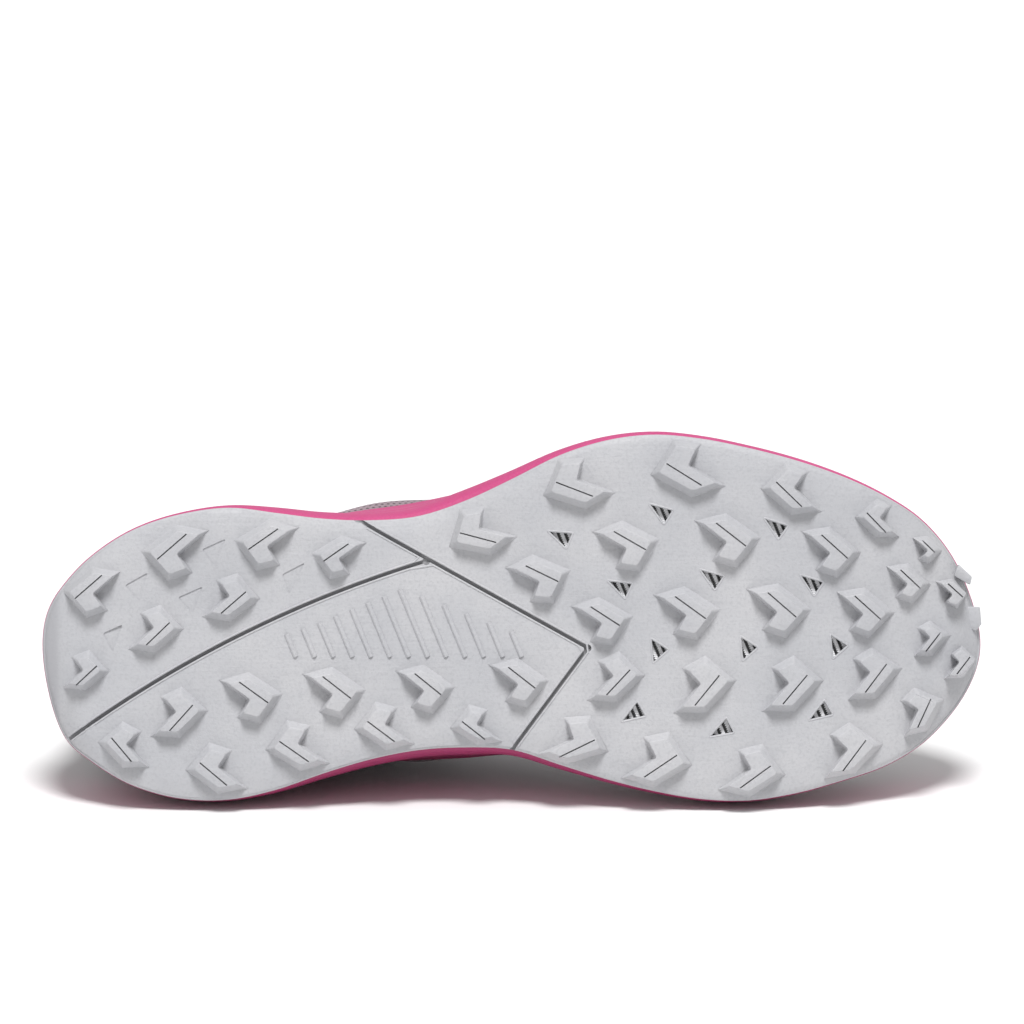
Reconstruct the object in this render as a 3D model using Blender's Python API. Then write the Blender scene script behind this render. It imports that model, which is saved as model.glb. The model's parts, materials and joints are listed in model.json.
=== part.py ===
"""Trail running shoe for the right foot, lying on its inner side.

Each piece is modelled standing: +X to the toe, +Y to the inner (medial) side, +Z up, with the
tops of the lugs on Z = 0. An empty then lays the whole shoe on its inner side. Metres throughout.
"""
import math

import bmesh
import bpy
import numpy as np
from mathutils import Matrix, Vector
from mathutils.bvhtree import BVHTree

# Driving sizes of the sole
SOLE_LENGTH = 0.294
BALL_WIDTH = 0.114
HEEL_STACK = 0.033
BALL_STACK = 0.027
TOE_SPRING = 0.016
TOE_LIFT = 0.010
ARCH_RISE = 0.0015
HEEL_BEVEL = 0.004
EDGE_ROLL = 0.0012
TOE_ROLL = 0.005
RUBBER = 0.0022
PLATE = 0.0010
WAIST_FLARE = 0.0042
SOLE_TUCK = 0.0100
RIM_WALL = 0.0028
INSOLE = 0.0040

# Driving sizes of the tread
LUG_HEIGHT = 0.0042
LUG_LENGTH = 0.0206
LUG_DRAFT = 0.0015
NOTCH_DRAFT = 0.0006
LUG_ROOT = 0.0008
WINDOW_SIZE = 0.0062
CHANNEL_WIDTH = 0.0017
CHANNEL_DEPTH = 0.0010
CHANNEL_BULGE = 0.0058

# Driving sizes of the upper, heights above the ground
COLLAR_HEIGHT = 0.103
INSTEP_HEIGHT = 0.107
VAMP_HEIGHT = 0.067
THROAT_WIDTH = 0.030
ANKLE_WIDTH = 0.064
WALL = 0.0020
COLLAR_PAD = 0.0035
OVERLAY = 0.0009
TONGUE = 0.0040
TONGUE_WIDTH = 0.044
TONGUE_RISE = 0.017
TONGUE_TUCK = 0.014
TONGUE_ARCH = 5.0
TONGUE_CLEAR = 0.0008
EYELET = 0.0042
EYELET_PAIRS = 6
LACE_WIDTH = 0.0055
LACE = 0.0014
LACE_PLAY = 0.0004
LACE_ARCH = 0.0012
LACE_INSIDE = 0.11

# Clearance between two pieces that touch
GAP = 0.0003

# Where the sole leaves the ground, as shares of its length
BEVEL_END = 0.09
ARCH_START = 0.30
ARCH_END = 0.56
SPRING_START = 0.72
SPRING_CURVE = 1.8

# How late the side of the midsole turns in to the rim, and how low its flare stands out furthest
SIDE_CURVE = 2.4
FLARE_CURVE = 0.62

# Ends of the spine that the rings of the sole shrink to, as shares of its length
SPINE_HEEL = 0.16
SPINE_TOE = 0.82

# Points around each ring, and levels of the rings
AROUND = 64
ROLL_LEVEL = 0.8
SHEET_LEVELS = (0.15, 0.5, ROLL_LEVEL, 0.93, 1.0)
RECESS_LEVEL = 0.77
UPPER_LEVELS = (0.0, 0.12, 0.28, 0.45, 0.62, 0.78, 0.9, 1.0)
RIM_LEVEL = 0.10
SIDE_LEVELS = (0.0, 0.12, 0.32, 0.56, 0.8, 1.0)
SPINE_LEVEL = 0.15
MIDDLE_LEVEL = 0.5
OUTER_LEVEL = 0.93
SEAT_LEVELS = (0.55, 0.2)
RECESS_WALL = 0.03
CHANNEL_STEPS = 14
OVERLAY_ROWS = 5
EYESTAY_ROWS = 3


def columns(names, rows):
    """A table as one array for each named column."""
    return dict(zip(names.split(), np.array(rows, dtype=float).T))


# Half widths of the tread as shares of the ball width. Flare is the foam that stands past the tread, as
# a share of the waist flare; tuck is how far the upper stands inside the tread, as a share of the tuck.
SOLE = columns(
    "along lateral medial flare_lateral flare_medial tuck_lateral tuck_medial",
    [
        (0.00, 0.700, 0.700, 0.12, 0.12, 0.80, 0.80),
        (0.02, 0.557, 0.839, 0.12, 0.12, 0.84, 0.86),
        (0.05, 0.546, 0.720, 0.13, 0.13, 0.92, 0.96),
        (0.10, 0.533, 0.647, 0.15, 0.13, 0.98, 1.04),
        (0.15, 0.505, 0.590, 0.18, 0.14, 0.96, 1.06),
        (0.20, 0.471, 0.529, 0.24, 0.18, 0.84, 1.00),
        (0.25, 0.418, 0.457, 0.45, 0.30, 0.60, 0.82),
        (0.30, 0.378, 0.383, 0.48, 0.45, 0.28, 0.52),
        (0.35, 0.359, 0.328, 0.50, 0.52, 0.00, 0.26),
        (0.40, 0.361, 0.294, 0.62, 0.52, -0.06, 0.08),
        (0.45, 0.398, 0.282, 0.74, 0.50, 0.14, 0.06),
        (0.50, 0.456, 0.287, 0.62, 0.45, 0.44, 0.22),
        (0.55, 0.523, 0.329, 0.45, 0.38, 0.66, 0.46),
        (0.60, 0.573, 0.375, 0.36, 0.30, 0.78, 0.66),
        (0.65, 0.605, 0.419, 0.30, 0.24, 0.84, 0.80),
        (0.70, 0.618, 0.460, 0.28, 0.20, 0.84, 0.86),
        (0.75, 0.625, 0.492, 0.26, 0.17, 0.80, 0.86),
        (0.80, 0.635, 0.509, 0.25, 0.15, 0.76, 0.82),
        (0.85, 0.650, 0.522, 0.22, 0.13, 0.70, 0.76),
        (0.90, 0.673, 0.547, 0.18, 0.12, 0.68, 0.72),
        (0.94, 0.701, 0.558, 0.14, 0.11, 0.66, 0.68),
        (0.97, 0.700, 0.545, 0.12, 0.10, 0.65, 0.66),
        (1.00, 0.520, 0.520, 0.10, 0.10, 0.64, 0.64),
    ],
)

# Profiles of the upper, each from the sole up to the collar or the throat. Edge is the end of the profile:
# along as a share of the sole's length, ridge as a share of the ball width, half gap as a share of half the
# ankle's width at the collar and of half the throat's width ahead of it. Heights are shares of the collar,
# instep and vamp heights. Rise and belly shape the wall above the sole, lean and drop shape it below the
# edge.
UPPER = columns(
    "along edge_along ridge half_gap collar instep vamp dip rise belly lean drop",
    [
        (0.00, 0.041, 0.030, 0.000, 1.00, 0.00, 0.00, 0.00, 0.23, 0.050, -0.03, 0.22),
        (0.02, 0.046, 0.030, 0.267, 0.99, 0.00, 0.00, 0.00, 0.23, 0.048, -0.03, 0.22),
        (0.06, 0.068, 0.030, 0.606, 0.95, 0.00, 0.00, 0.00, 0.23, 0.040, -0.02, 0.21),
        (0.12, 0.122, 0.028, 0.884, 0.87, 0.00, 0.00, 0.01, 0.22, 0.030, -0.01, 0.19),
        (0.20, 0.204, 0.018, 1.001, 0.81, 0.00, 0.00, 0.03, 0.22, 0.030, 0.00, 0.17),
        (0.28, 0.282, 0.002, 0.983, 0.82, 0.03, 0.00, 0.03, 0.24, 0.036, 0.03, 0.17),
        (0.35, 0.350, -0.012, 0.881, 0.63, 0.31, 0.00, 0.02, 0.26, 0.050, 0.06, 0.18),
        (0.41, 0.405, -0.022, 0.946, 0.00, 0.99, 0.00, 0.00, 0.28, 0.058, 0.10, 0.18),
        (0.47, 0.456, -0.030, 1.087, 0.00, 0.94, 0.00, 0.00, 0.28, 0.056, 0.12, 0.15),
        (0.55, 0.537, -0.038, 0.996, 0.00, 0.50, 0.51, 0.00, 0.26, 0.044, 0.14, 0.11),
        (0.63, 0.612, -0.042, 0.927, 0.00, 0.18, 0.85, 0.00, 0.24, 0.036, 0.16, 0.08),
        (0.70, 0.655, -0.044, 0.821, 0.00, 0.03, 1.01, 0.00, 0.22, 0.030, 0.18, 0.05),
        (0.80, 0.680, -0.046, 0.654, 0.00, 0.00, 1.02, 0.00, 0.21, 0.028, 0.22, 0.03),
        (0.90, 0.696, -0.046, 0.410, 0.00, 0.00, 1.01, 0.00, 0.20, 0.026, 0.31, 0.02),
        (0.96, 0.702, -0.046, 0.213, 0.00, 0.00, 1.00, 0.00, 0.20, 0.026, 0.39, 0.02),
        (1.00, 0.704, -0.046, 0.000, 0.00, 0.00, 1.00, 0.00, 0.20, 0.026, 0.41, 0.02),
    ],
)

# Corners of one lug that points to the toe with its long arm on the outer side, from its apex, as
# shares of the lug's length; draft is the slope of the side that starts there
LUG = (
    ("apex", 0.0, 0.0, LUG_DRAFT),
    ("long shoulder", -0.53, -0.365, LUG_DRAFT),
    ("long tip", -1.0, -0.26, NOTCH_DRAFT),
    ("notch", -0.56, 0.075, NOTCH_DRAFT),
    ("short tip", -0.73, 0.35, LUG_DRAFT),
    ("short shoulder", -0.365, 0.455, LUG_DRAFT),
)

# Lugs by the way that they point and the side of their long arm: apex along the sole and across it as
# shares of the length and the ball width, turn in degrees and size
TREAD = {
    ("heel", "outer"): [
        (0.020, -0.148, -3, 0.95),
        (0.106, -0.257, -3, 1.03),
        (0.205, -0.287, 3, 0.96),
        (0.287, -0.251, 3, 0.81),
    ],
    ("heel", "inner"): [
        (0.060, 0.265, 12, 0.83),
        (0.153, 0.342, 2, 0.94),
        (0.238, 0.287, -3, 0.95),
        (0.332, 0.230, -1, 0.90),
        (0.434, 0.227, 0, 0.78),
        (0.433, -0.270, -23, 1.00),
        (0.533, -0.410, -17, 1.05),
        (0.647, -0.467, -6, 1.10),
        (0.764, -0.429, 6, 0.95),
        (0.864, -0.350, 8, 0.74),
    ],
    ("toe", "outer"): [
        (0.256, 0.134, -2, 0.95),
        (0.344, 0.123, 0, 0.95),
        (0.439, 0.115, 1, 0.90),
        (0.539, 0.096, 0, 0.91),
        (0.562, -0.205, -12, 0.96),
        (0.656, -0.290, -8, 0.98),
        (0.764, -0.295, 0, 1.00),
        (0.872, -0.257, 4, 0.94),
        (0.960, -0.260, 6, 0.52),
        (0.947, -0.169, 5, 0.74),
        (0.989, -0.142, 4, 0.54),
        (0.628, -0.079, -5, 0.92),
        (0.721, -0.098, -2, 1.00),
        (0.818, -0.098, 3, 1.00),
        (0.907, -0.090, 4, 0.93),
    ],
    ("toe", "inner"): [
        (0.232, -0.128, -3, 0.88),
        (0.151, -0.046, -6, 0.86),
        (0.072, 0.071, -5, 0.76),
        (0.177, 0.178, -10, 0.92),
        (0.968, -0.027, -14, 0.66),
        (0.998, 0.041, -14, 0.58),
        (0.641, 0.082, -9, 0.92),
        (0.738, 0.096, -13, 1.03),
        (0.831, 0.096, -12, 1.01),
        (0.915, 0.063, -15, 0.95),
        (0.602, 0.292, 12, 1.05),
        (0.691, 0.328, 4, 1.05),
        (0.790, 0.355, 2, 1.00),
        (0.894, 0.273, -15, 1.02),
        (0.961, 0.150, -27, 0.84),
    ],
}

# Corners of one window from its middle, as shares of its size
WINDOW = {
    "long": ((-0.60, -0.41), (0.51, -0.12), (0.09, 0.54)),
    "short": ((-0.25, -0.54), (0.55, -0.03), (-0.15, 0.58)),
}

# Shape of each window, its middle along and across, turn in degrees and side that its low corner is on
WINDOWS = (
    ("long", 0.553, -0.295, -10, 1),
    ("long", 0.659, -0.363, 0, 1),
    ("long", 0.781, -0.322, 2, 1),
    ("long", 0.616, -0.158, -8, 1),
    ("long", 0.713, -0.183, 0, 1),
    ("long", 0.819, -0.167, 2, 1),
    ("short", 0.653, 0.014, 0, 1),
    ("short", 0.748, 0.008, 0, 1),
    ("short", 0.844, 0.003, 0, 1),
    ("long", 0.630, 0.186, 2, -1),
    ("long", 0.724, 0.230, 5, -1),
    ("long", 0.829, 0.183, 2, -1),
)

# Ends of the moulded channels along and across, and how far each one bows, as a share of the bulge
CHANNELS = (
    ((0.4097, -0.2320), (0.012, 0.290), 1.0),
    ((0.325, -0.358), (0.5815, 0.009), 0.0),
    ((0.5815, 0.003), (0.4930, 0.310), 0.0),
)

# Rings of the insole: share of the way out from the spine and share of its thickness
INSOLE_RINGS = ((0.2, 0.0), (0.6, 0.0), (1.0, 0.0), (1.0, 0.8), (0.94, 1.0), (0.6, 1.0), (0.2, 1.0))

# Overlays of the upper: middle of the overlay on the loop as a share of the way from heel to toe, where
# it ends on each side, and how high it reaches at its middle and at its ends
TOE_CAP_END = 0.80
TOE_CAP_HEIGHT = 0.46
TOE_CAP_LOW = 0.20
COUNTER_END = 0.24
COUNTER_HEIGHT = 0.66
COUNTER_LOW = 0.24
OVERLAY_FOOT = 0.13
EYESTAY_START = 0.415
EYESTAY_FOOT = 0.80
EYESTAY_HEAD = 0.985
EYELET_LEVEL = 0.925
EYELET_FIRST = 0.66
EYELET_LAST = 0.435
EYELET_RIM = 0.025

# The tongue's front width as a share of its full width, and the rows of its head past the top eyelets:
# share of the rise and share of the width
TONGUE_FRONT = 0.66
TONGUE_HEAD = ((0.35, 0.86), (0.75, 0.76), (1.0, 0.64))
TONGUE_PROBES = 61

# The way that the wall faces at its edge, and where the worn shoe balances as shares of the sole's length
# and of the heel's height
EDGE_FACING = 0.010
BALANCE_ALONG = 0.46
BALANCE_UP = 1.15


def clear_scene():
    for thing in list(bpy.data.objects):
        bpy.data.objects.remove(thing, do_unlink=True)


def material(name, colour, roughness, metallic=0.0):
    made = bpy.data.materials.new(name)
    made.use_nodes = True
    shader = made.node_tree.nodes["Principled BSDF"]
    shader.inputs["Base Color"].default_value = (*colour, 1.0)
    shader.inputs["Roughness"].default_value = roughness
    shader.inputs["Metallic"].default_value = metallic
    return made


def ease(start, end, x):
    """Rises smoothly from 0 at start to 1 at end."""
    share = np.clip((np.asarray(x, dtype=float) - start) / (end - start), 0.0, 1.0)
    return share * share * (3.0 - 2.0 * share)


def station_angle(along):
    """Angle on the loop of a share of the way from heel to toe, on the inner side."""
    return np.arccos(1.0 - 2.0 * np.asarray(along, dtype=float))


def share_along(theta):
    return (1.0 - np.cos(theta)) / 2.0


def around(along, inner, outer, theta):
    """Smooth closed curve through the rows of a table: up the inner side and back down the outer side."""
    knots = station_angle(along)
    knots = np.concatenate([knots, 2.0 * math.pi - knots[-2:0:-1]])
    values = np.concatenate([inner, outer[-2:0:-1]])
    turn = 2.0 * math.pi
    knots = np.concatenate([knots - turn, knots, knots + turn])
    values = np.tile(values, 3)
    slopes = np.gradient(values, knots)
    theta = np.mod(theta, turn)
    row = np.searchsorted(knots, theta, side="right") - 1
    step = knots[row + 1] - knots[row]
    part = (theta - knots[row]) / step
    rest = 1.0 - part
    start = rest * rest * (1.0 + 2.0 * part) * values[row] + rest * rest * part * step * slopes[row]
    end = part * part * (3.0 - 2.0 * part) * values[row + 1] - part * part * rest * step * slopes[row + 1]
    return start + end


def stacked(*parts):
    return np.stack(np.broadcast_arrays(*parts), axis=-1)


def tread_outline(theta):
    """Edge of the tread seen from below."""
    full = around(SOLE["along"], SOLE["medial"], SOLE["lateral"], theta)
    return stacked(SOLE_LENGTH * share_along(theta), BALL_WIDTH * full * np.sin(theta))


def outward(theta):
    """Unit vector that points out of the tread's edge."""
    step = 1e-3
    tangent = tread_outline(theta + step) - tread_outline(theta - step)
    normal = stacked(-tangent[..., 1], tangent[..., 0])
    return normal / np.linalg.norm(normal, axis=-1, keepdims=True)


def spine(theta):
    """Point of the middle line that a ring shrinks to."""
    along = np.clip(share_along(theta), SPINE_HEEL, SPINE_TOE)
    angle = station_angle(along)
    middle = (tread_outline(angle)[..., 1] + tread_outline(-angle)[..., 1]) / 2.0
    return stacked(along * SOLE_LENGTH, middle)


def ground(x):
    """Height of the tops of the lugs: heel bevel, arch and toe spring."""
    along = np.clip(np.asarray(x, dtype=float) / SOLE_LENGTH, 0.0, 1.0)
    bevel = np.clip((BEVEL_END - along) / BEVEL_END, 0.0, 1.0) ** 2
    arch = np.sin(math.pi * np.clip((along - ARCH_START) / (ARCH_END - ARCH_START), 0.0, 1.0)) ** 2
    spring = np.clip((along - SPRING_START) / (1.0 - SPRING_START), 0.0, 1.0) ** SPRING_CURVE
    return HEEL_BEVEL * bevel + ARCH_RISE * arch + TOE_SPRING * spring


def footbed(x):
    """Height of the top of the midsole."""
    along = np.clip(np.asarray(x, dtype=float) / SOLE_LENGTH, 0.0, 1.0)
    drop = (HEEL_STACK - BALL_STACK) * (1.0 - ease(0.25, 0.62, along))
    lift = TOE_LIFT * np.clip((along - SPRING_START) / (1.0 - SPRING_START), 0.0, 1.0) ** SPRING_CURVE
    return BALL_STACK + drop + lift


def sheet_ring(theta, level, height):
    """Ring of the tread's sheet at a share of the way out from the spine, height above its underside."""
    inner = spine(theta)
    plan = inner + (tread_outline(theta) - inner) * level
    along = share_along(theta)
    rear = np.clip((BEVEL_END - along) / BEVEL_END, 0.0, 1.0)
    roll = EDGE_ROLL + TOE_ROLL * ease(0.90, 1.0, along) + HEEL_BEVEL * ease(0.0, 1.0, rear)
    lift = roll * np.clip((level - ROLL_LEVEL) / (1.0 - ROLL_LEVEL), 0.0, 1.0) ** 2
    return stacked(plan[..., 0], plan[..., 1], ground(plan[..., 0]) + LUG_HEIGHT + lift + height)


def feather(theta):
    """Line where the upper meets the sole."""
    tuck = SOLE_TUCK * around(SOLE["along"], SOLE["tuck_medial"], SOLE["tuck_lateral"], theta)
    plan = tread_outline(theta) - outward(theta) * tuck[..., None]
    return stacked(plan[..., 0], plan[..., 1], footbed(plan[..., 0]) + GAP)


def upper_edge(theta):
    """Line of the collar and the throat."""
    along = UPPER["along"]
    x = SOLE_LENGTH * around(along, UPPER["edge_along"], UPPER["edge_along"], theta)
    throat = ease(0.33, 0.47, along)
    half = UPPER["half_gap"] * (throat * THROAT_WIDTH + (1.0 - throat) * ANKLE_WIDTH) / 2.0
    ridge = UPPER["ridge"] * BALL_WIDTH
    y = around(along, ridge + half, ridge - half, theta)
    height = UPPER["collar"] * COLLAR_HEIGHT + UPPER["instep"] * INSTEP_HEIGHT + UPPER["vamp"] * VAMP_HEIGHT
    z = around(along, height, height - UPPER["dip"] * COLLAR_HEIGHT, theta)
    return stacked(x, y, z)


def upper_curve(theta, level):
    """Outer face of the upper: a cubic curve from the feather line to the edge for each angle."""
    foot = feather(theta)
    edge = upper_edge(theta)
    out = outward(theta)
    flat = np.zeros_like(out[..., :1])
    out = np.concatenate([out, flat], axis=-1)
    span = (foot - edge) * (1.0, 1.0, 0.0) + out * EDGE_FACING
    span = span / np.linalg.norm(span, axis=-1, keepdims=True)
    sizes = {"rise": COLLAR_HEIGHT, "belly": BALL_WIDTH, "lean": BALL_WIDTH, "drop": COLLAR_HEIGHT}
    shape = {}
    for name, size in sizes.items():
        shape[name] = size * around(UPPER["along"], UPPER[name], UPPER[name], theta)[..., None]
    up = np.array((0.0, 0.0, 1.0))
    low = foot + out * shape["belly"] + up * shape["rise"]
    high = edge + span * shape["lean"] - up * shape["drop"]
    level = np.asarray(level, dtype=float)[..., None]
    rest = 1.0 - level
    return rest**3 * foot + 3.0 * rest**2 * level * low + 3.0 * rest * level**2 * high + level**3 * edge


def upper_point(theta, level, offset=0.0):
    """Point at a distance outside the outer face of the upper."""
    theta, level, offset = np.broadcast_arrays(theta, level, offset)
    step = 1e-3
    around_step = upper_curve(theta + step, level) - upper_curve(theta - step, level)
    above = upper_curve(theta, np.minimum(level + step, 1.0))
    below = upper_curve(theta, np.maximum(level - step, 0.0))
    normal = np.cross(above - below, around_step)
    normal = normal / np.linalg.norm(normal, axis=-1, keepdims=True)
    return upper_curve(theta, level) + normal * offset[..., None]


def wall(theta, level):
    """Thickness of the upper, with the padding of the collar."""
    padded = 1.0 - ease(0.30, 0.42, share_along(theta))
    return WALL + COLLAR_PAD * padded * ease(0.45, 0.78, level)


def ring_angles():
    return np.arange(AROUND) * 2.0 * math.pi / AROUND


def add_object(name, mesh_maker, finish, guide=False):
    """Object from a bmesh, with its faces pointing out and its round sides shaded smooth."""
    bmesh.ops.recalc_face_normals(mesh_maker, faces=mesh_maker.faces[:])
    data = bpy.data.meshes.new(name)
    mesh_maker.to_mesh(data)
    mesh_maker.free()
    data.shade_smooth()
    data.set_sharp_from_angle(angle=math.radians(35.0))
    thing = bpy.data.objects.new(name, data)
    bpy.context.scene.collection.objects.link(thing)
    if guide:
        thing.hide_render = True
        thing.display_type = "WIRE"
    else:
        data.materials.append(finish)
    return thing


def split_quad(made, a, b, c, d):
    """Two triangles over the shorter diagonal, so that faces which lie face to face fold alike."""
    if (a.co - c.co).length < (b.co - d.co).length:
        made.faces.new((a, b, c))
        made.faces.new((a, c, d))
    else:
        made.faces.new((a, b, d))
        made.faces.new((b, c, d))


def ringed_solid(name, rings, finish, tube=False):
    """Closed solid through a row of rings. A tube's last ring meets its first, other ends are capped."""
    made = bmesh.new()
    loops = [[made.verts.new(point) for point in ring] for ring in rings]
    count = len(loops[0])
    pairs = list(zip(loops, loops[1:]))
    if tube:
        pairs.append((loops[-1], loops[0]))
    for low, high in pairs:
        for i in range(count):
            j = (i + 1) % count
            split_quad(made, low[i], low[j], high[j], high[i])
    if not tube:
        for loop in (loops[0], loops[-1]):
            cap_ring(made, loop)
    return add_object(name, made, finish)


def cap_ring(made, loop):
    """Strip of faces from the inner side of a ring to its outer side."""
    half = len(loop) // 2
    made.faces.new((loop[0], loop[1], loop[-1]))
    for i in range(1, half - 1):
        made.faces.new((loop[i], loop[i + 1], loop[-i - 1], loop[-i]))
    made.faces.new((loop[half - 1], loop[half], loop[half + 1]))


def slab(name, outer, inner, finish):
    """Closed solid between two grids of points of the same size."""
    made = bmesh.new()
    rows, across = outer.shape[:2]
    faces = []
    for grid in (outer, inner):
        faces.append([[made.verts.new(point) for point in row] for row in grid])
    for side in faces:
        for i in range(rows - 1):
            for j in range(across - 1):
                made.faces.new((side[i][j], side[i + 1][j], side[i + 1][j + 1], side[i][j + 1]))
    border = [(i, 0) for i in range(rows)]
    border += [(rows - 1, j) for j in range(1, across)]
    border += [(i, across - 1) for i in range(rows - 2, -1, -1)]
    border += [(0, j) for j in range(across - 2, 0, -1)]
    for (i, j), (k, m) in zip(border, border[1:] + border[:1]):
        made.faces.new((faces[0][i][j], faces[0][k][m], faces[1][k][m], faces[1][i][j]))
    return add_object(name, made, finish)


def prism(made, low, high, low_middle=None):
    """Closed prism between two loops of the same length; a fan around low_middle may close its low end."""
    bottom = [made.verts.new(point) for point in low]
    top = [made.verts.new(point) for point in high]
    following = bottom[1:] + bottom[:1]
    if low_middle is None:
        made.faces.new(bottom)
    else:
        hub = made.verts.new(low_middle)
        for a, b in zip(bottom, following):
            made.faces.new((a, b, hub))
    made.faces.new(top)
    for i in range(len(bottom)):
        j = (i + 1) % len(bottom)
        made.faces.new((bottom[i], bottom[j], top[j], top[i]))


def boolean(thing, operation, other):
    cut = thing.modifiers.new(f"{operation.lower()} {other.name}", "BOOLEAN")
    cut.operation = operation
    cut.solver = "EXACT"
    cut.object = other


def inset(corners, distances):
    """Corners of an outline whose sides each moved in by their own distance."""
    following = corners[1:] + corners[:1]
    area = sum(a.x * b.y - a.y * b.x for a, b in zip(corners, following))
    inward = math.copysign(1.0, area)
    lines = []
    for start, end, distance in zip(corners, following, distances):
        run = (end - start).normalized()
        lines.append((start + Vector((-run.y, run.x)) * inward * distance, run))
    moved = []
    for (point, run), (other, way) in zip([lines[-1]] + lines[:-1], lines):
        gap = other - point
        cross = run.x * way.y - run.y * way.x
        moved.append(point + run * ((gap.x * way.y - gap.y * way.x) / cross))
    return moved


def placed(shape, along, across, turn, size, flip_x, flip_y):
    """Corners of a small outline on the tread."""
    spin = Matrix.Rotation(math.radians(turn), 2)
    middle = Vector((along * SOLE_LENGTH, across * BALL_WIDTH))
    return [middle + spin @ Vector((x * flip_x, y * flip_y)) * size for x, y in shape]


def surface_tree(thing):
    """Faces of an object, ready to be met by rays."""
    corners = [vertex.co for vertex in thing.data.vertices]
    faces = [tuple(face.vertices) for face in thing.data.polygons]
    return BVHTree.FromPolygons(corners, faces)


class Underside:
    """Height of the underside of the tread's sheet at any point of its plan."""

    def __init__(self, sheet):
        self.tree = surface_tree(sheet)

    def height(self, x, y):
        hit = self.tree.ray_cast(Vector((x, y, -1.0)), Vector((0.0, 0.0, 1.0)))[0]
        if hit is None:
            hit = self.tree.find_nearest(Vector((x, y, ground(x) + LUG_HEIGHT)))[0]
        return hit.z


def kept_inside(corner, margin):
    """Point moved along the line to the spine until it lies a margin inside the tread's edge."""
    along = min(max(corner.x / SOLE_LENGTH, 1e-4), 1.0 - 1e-4)
    angle = float(station_angle(along))
    angles = np.linspace(0.0, 2.0 * math.pi, 721)
    edge = tread_outline(angles)
    centre = Vector(spine(angle if corner.y > 0.0 else -angle))
    ray = corner - centre
    reach = edge - np.array(centre)
    heading = math.atan2(ray.y, ray.x)
    headings = np.arctan2(reach[:, 1], reach[:, 0])
    turned = np.abs(np.mod(headings - heading + math.pi, 2.0 * math.pi) - math.pi)
    limit = float(np.linalg.norm(reach[int(np.argmin(turned))])) - margin
    if ray.length > limit:
        return centre + ray.normalized() * limit
    return corner


def make_outsole(finish):
    """One moulded rubber piece: sheet, lugs, windows and channels."""
    theta = ring_angles()
    rings = [sheet_ring(theta, level, 0.0) for level in SHEET_LEVELS]
    rings += [sheet_ring(theta, level, RUBBER) for level in reversed(SHEET_LEVELS)]
    outsole = ringed_solid("outsole", rings, finish)
    underside = Underside(outsole)
    boolean(outsole, "UNION", make_lugs(underside))
    boolean(outsole, "DIFFERENCE", make_windows(underside))
    for i, (start, end, bulge) in enumerate(CHANNELS):
        boolean(outsole, "DIFFERENCE", make_channel(f"channel_cutter_{i + 1}", underside, start, end, bulge))
    return outsole


def make_lugs(underside):
    made = bmesh.new()
    for (way, long_side), lugs in TREAD.items():
        flip_x = 1.0 if way == "toe" else -1.0
        flip_y = 1.0 if long_side == "outer" else -1.0
        for along, across, turn, size in lugs:
            shape = [(x, y) for _, x, y, _ in LUG]
            corners = placed(shape, along, across, turn, size * LUG_LENGTH, flip_x, flip_y)
            corners = [kept_inside(corner, LUG_ROOT) for corner in corners]
            tops = inset(corners, [draft for _, _, _, draft in LUG])
            add_lug(made, underside, corners, tops)
    return add_object("lugs", made, None, guide=True)


def add_lug(made, underside, corners, tops):
    middle = sum(tops, Vector((0.0, 0.0))) / len(tops)
    step = 1e-3
    slope = float(ground(middle.x + step) - ground(middle.x - step)) / (2.0 * step)
    height = float(ground(middle.x))
    top_loop = [(top.x, top.y, height + slope * (top.x - middle.x)) for top in tops]
    root_loop = [(c.x, c.y, underside.height(c.x, c.y) + LUG_ROOT) for c in corners]
    root_middle = (middle.x, middle.y, underside.height(middle.x, middle.y) + LUG_ROOT)
    prism(made, root_loop, top_loop, root_middle)


def make_windows(underside):
    made = bmesh.new()
    reach = RUBBER + LUG_HEIGHT
    for shape, along, across, turn, flip in WINDOWS:
        corners = placed(WINDOW[shape], along, across, turn, WINDOW_SIZE, 1.0, flip)
        height = underside.height(corners[0].x, corners[0].y)
        low = [(corner.x, corner.y, height - reach) for corner in corners]
        high = [(corner.x, corner.y, height + reach) for corner in corners]
        prism(made, low, high)
    return add_object("window_cutters", made, None, guide=True)


def make_channel(name, underside, start, end, bulge):
    """Cutter along an arc of the tread, as deep as the channel everywhere."""
    a = Vector((start[0] * SOLE_LENGTH, start[1] * BALL_WIDTH))
    b = Vector((end[0] * SOLE_LENGTH, end[1] * BALL_WIDTH))
    run = b - a
    side = Vector((-run.y, run.x)).normalized()
    middle_line = []
    for i in range(CHANNEL_STEPS + 1):
        share = i / CHANNEL_STEPS
        middle_line.append(a + run * share + side * (4.0 * share * (1.0 - share) * bulge * CHANNEL_BULGE))
    rings = []
    for i, point in enumerate(middle_line):
        before = middle_line[max(i - 1, 0)]
        after = middle_line[min(i + 1, CHANNEL_STEPS)]
        way = (after - before).normalized()
        across = Vector((-way.y, way.x)) * (CHANNEL_WIDTH / 2.0)
        left = point - across
        right = point + across
        left_height = underside.height(left.x, left.y)
        right_height = underside.height(right.x, right.y)
        ring = [(left.x, left.y, left_height - LUG_HEIGHT), (right.x, right.y, right_height - LUG_HEIGHT)]
        ring.append((right.x, right.y, right_height + CHANNEL_DEPTH))
        ring.append((left.x, left.y, left_height + CHANNEL_DEPTH))
        rings.append(ring)
    made = bmesh.new()
    loops = [[made.verts.new(point) for point in ring] for ring in rings]
    made.faces.new(loops[0])
    made.faces.new(loops[-1])
    for low, high in zip(loops, loops[1:]):
        for i in range(4):
            j = (i + 1) % 4
            made.faces.new((low[i], low[j], high[j], high[i]))
    return add_object(name, made, None, guide=True)


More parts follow.
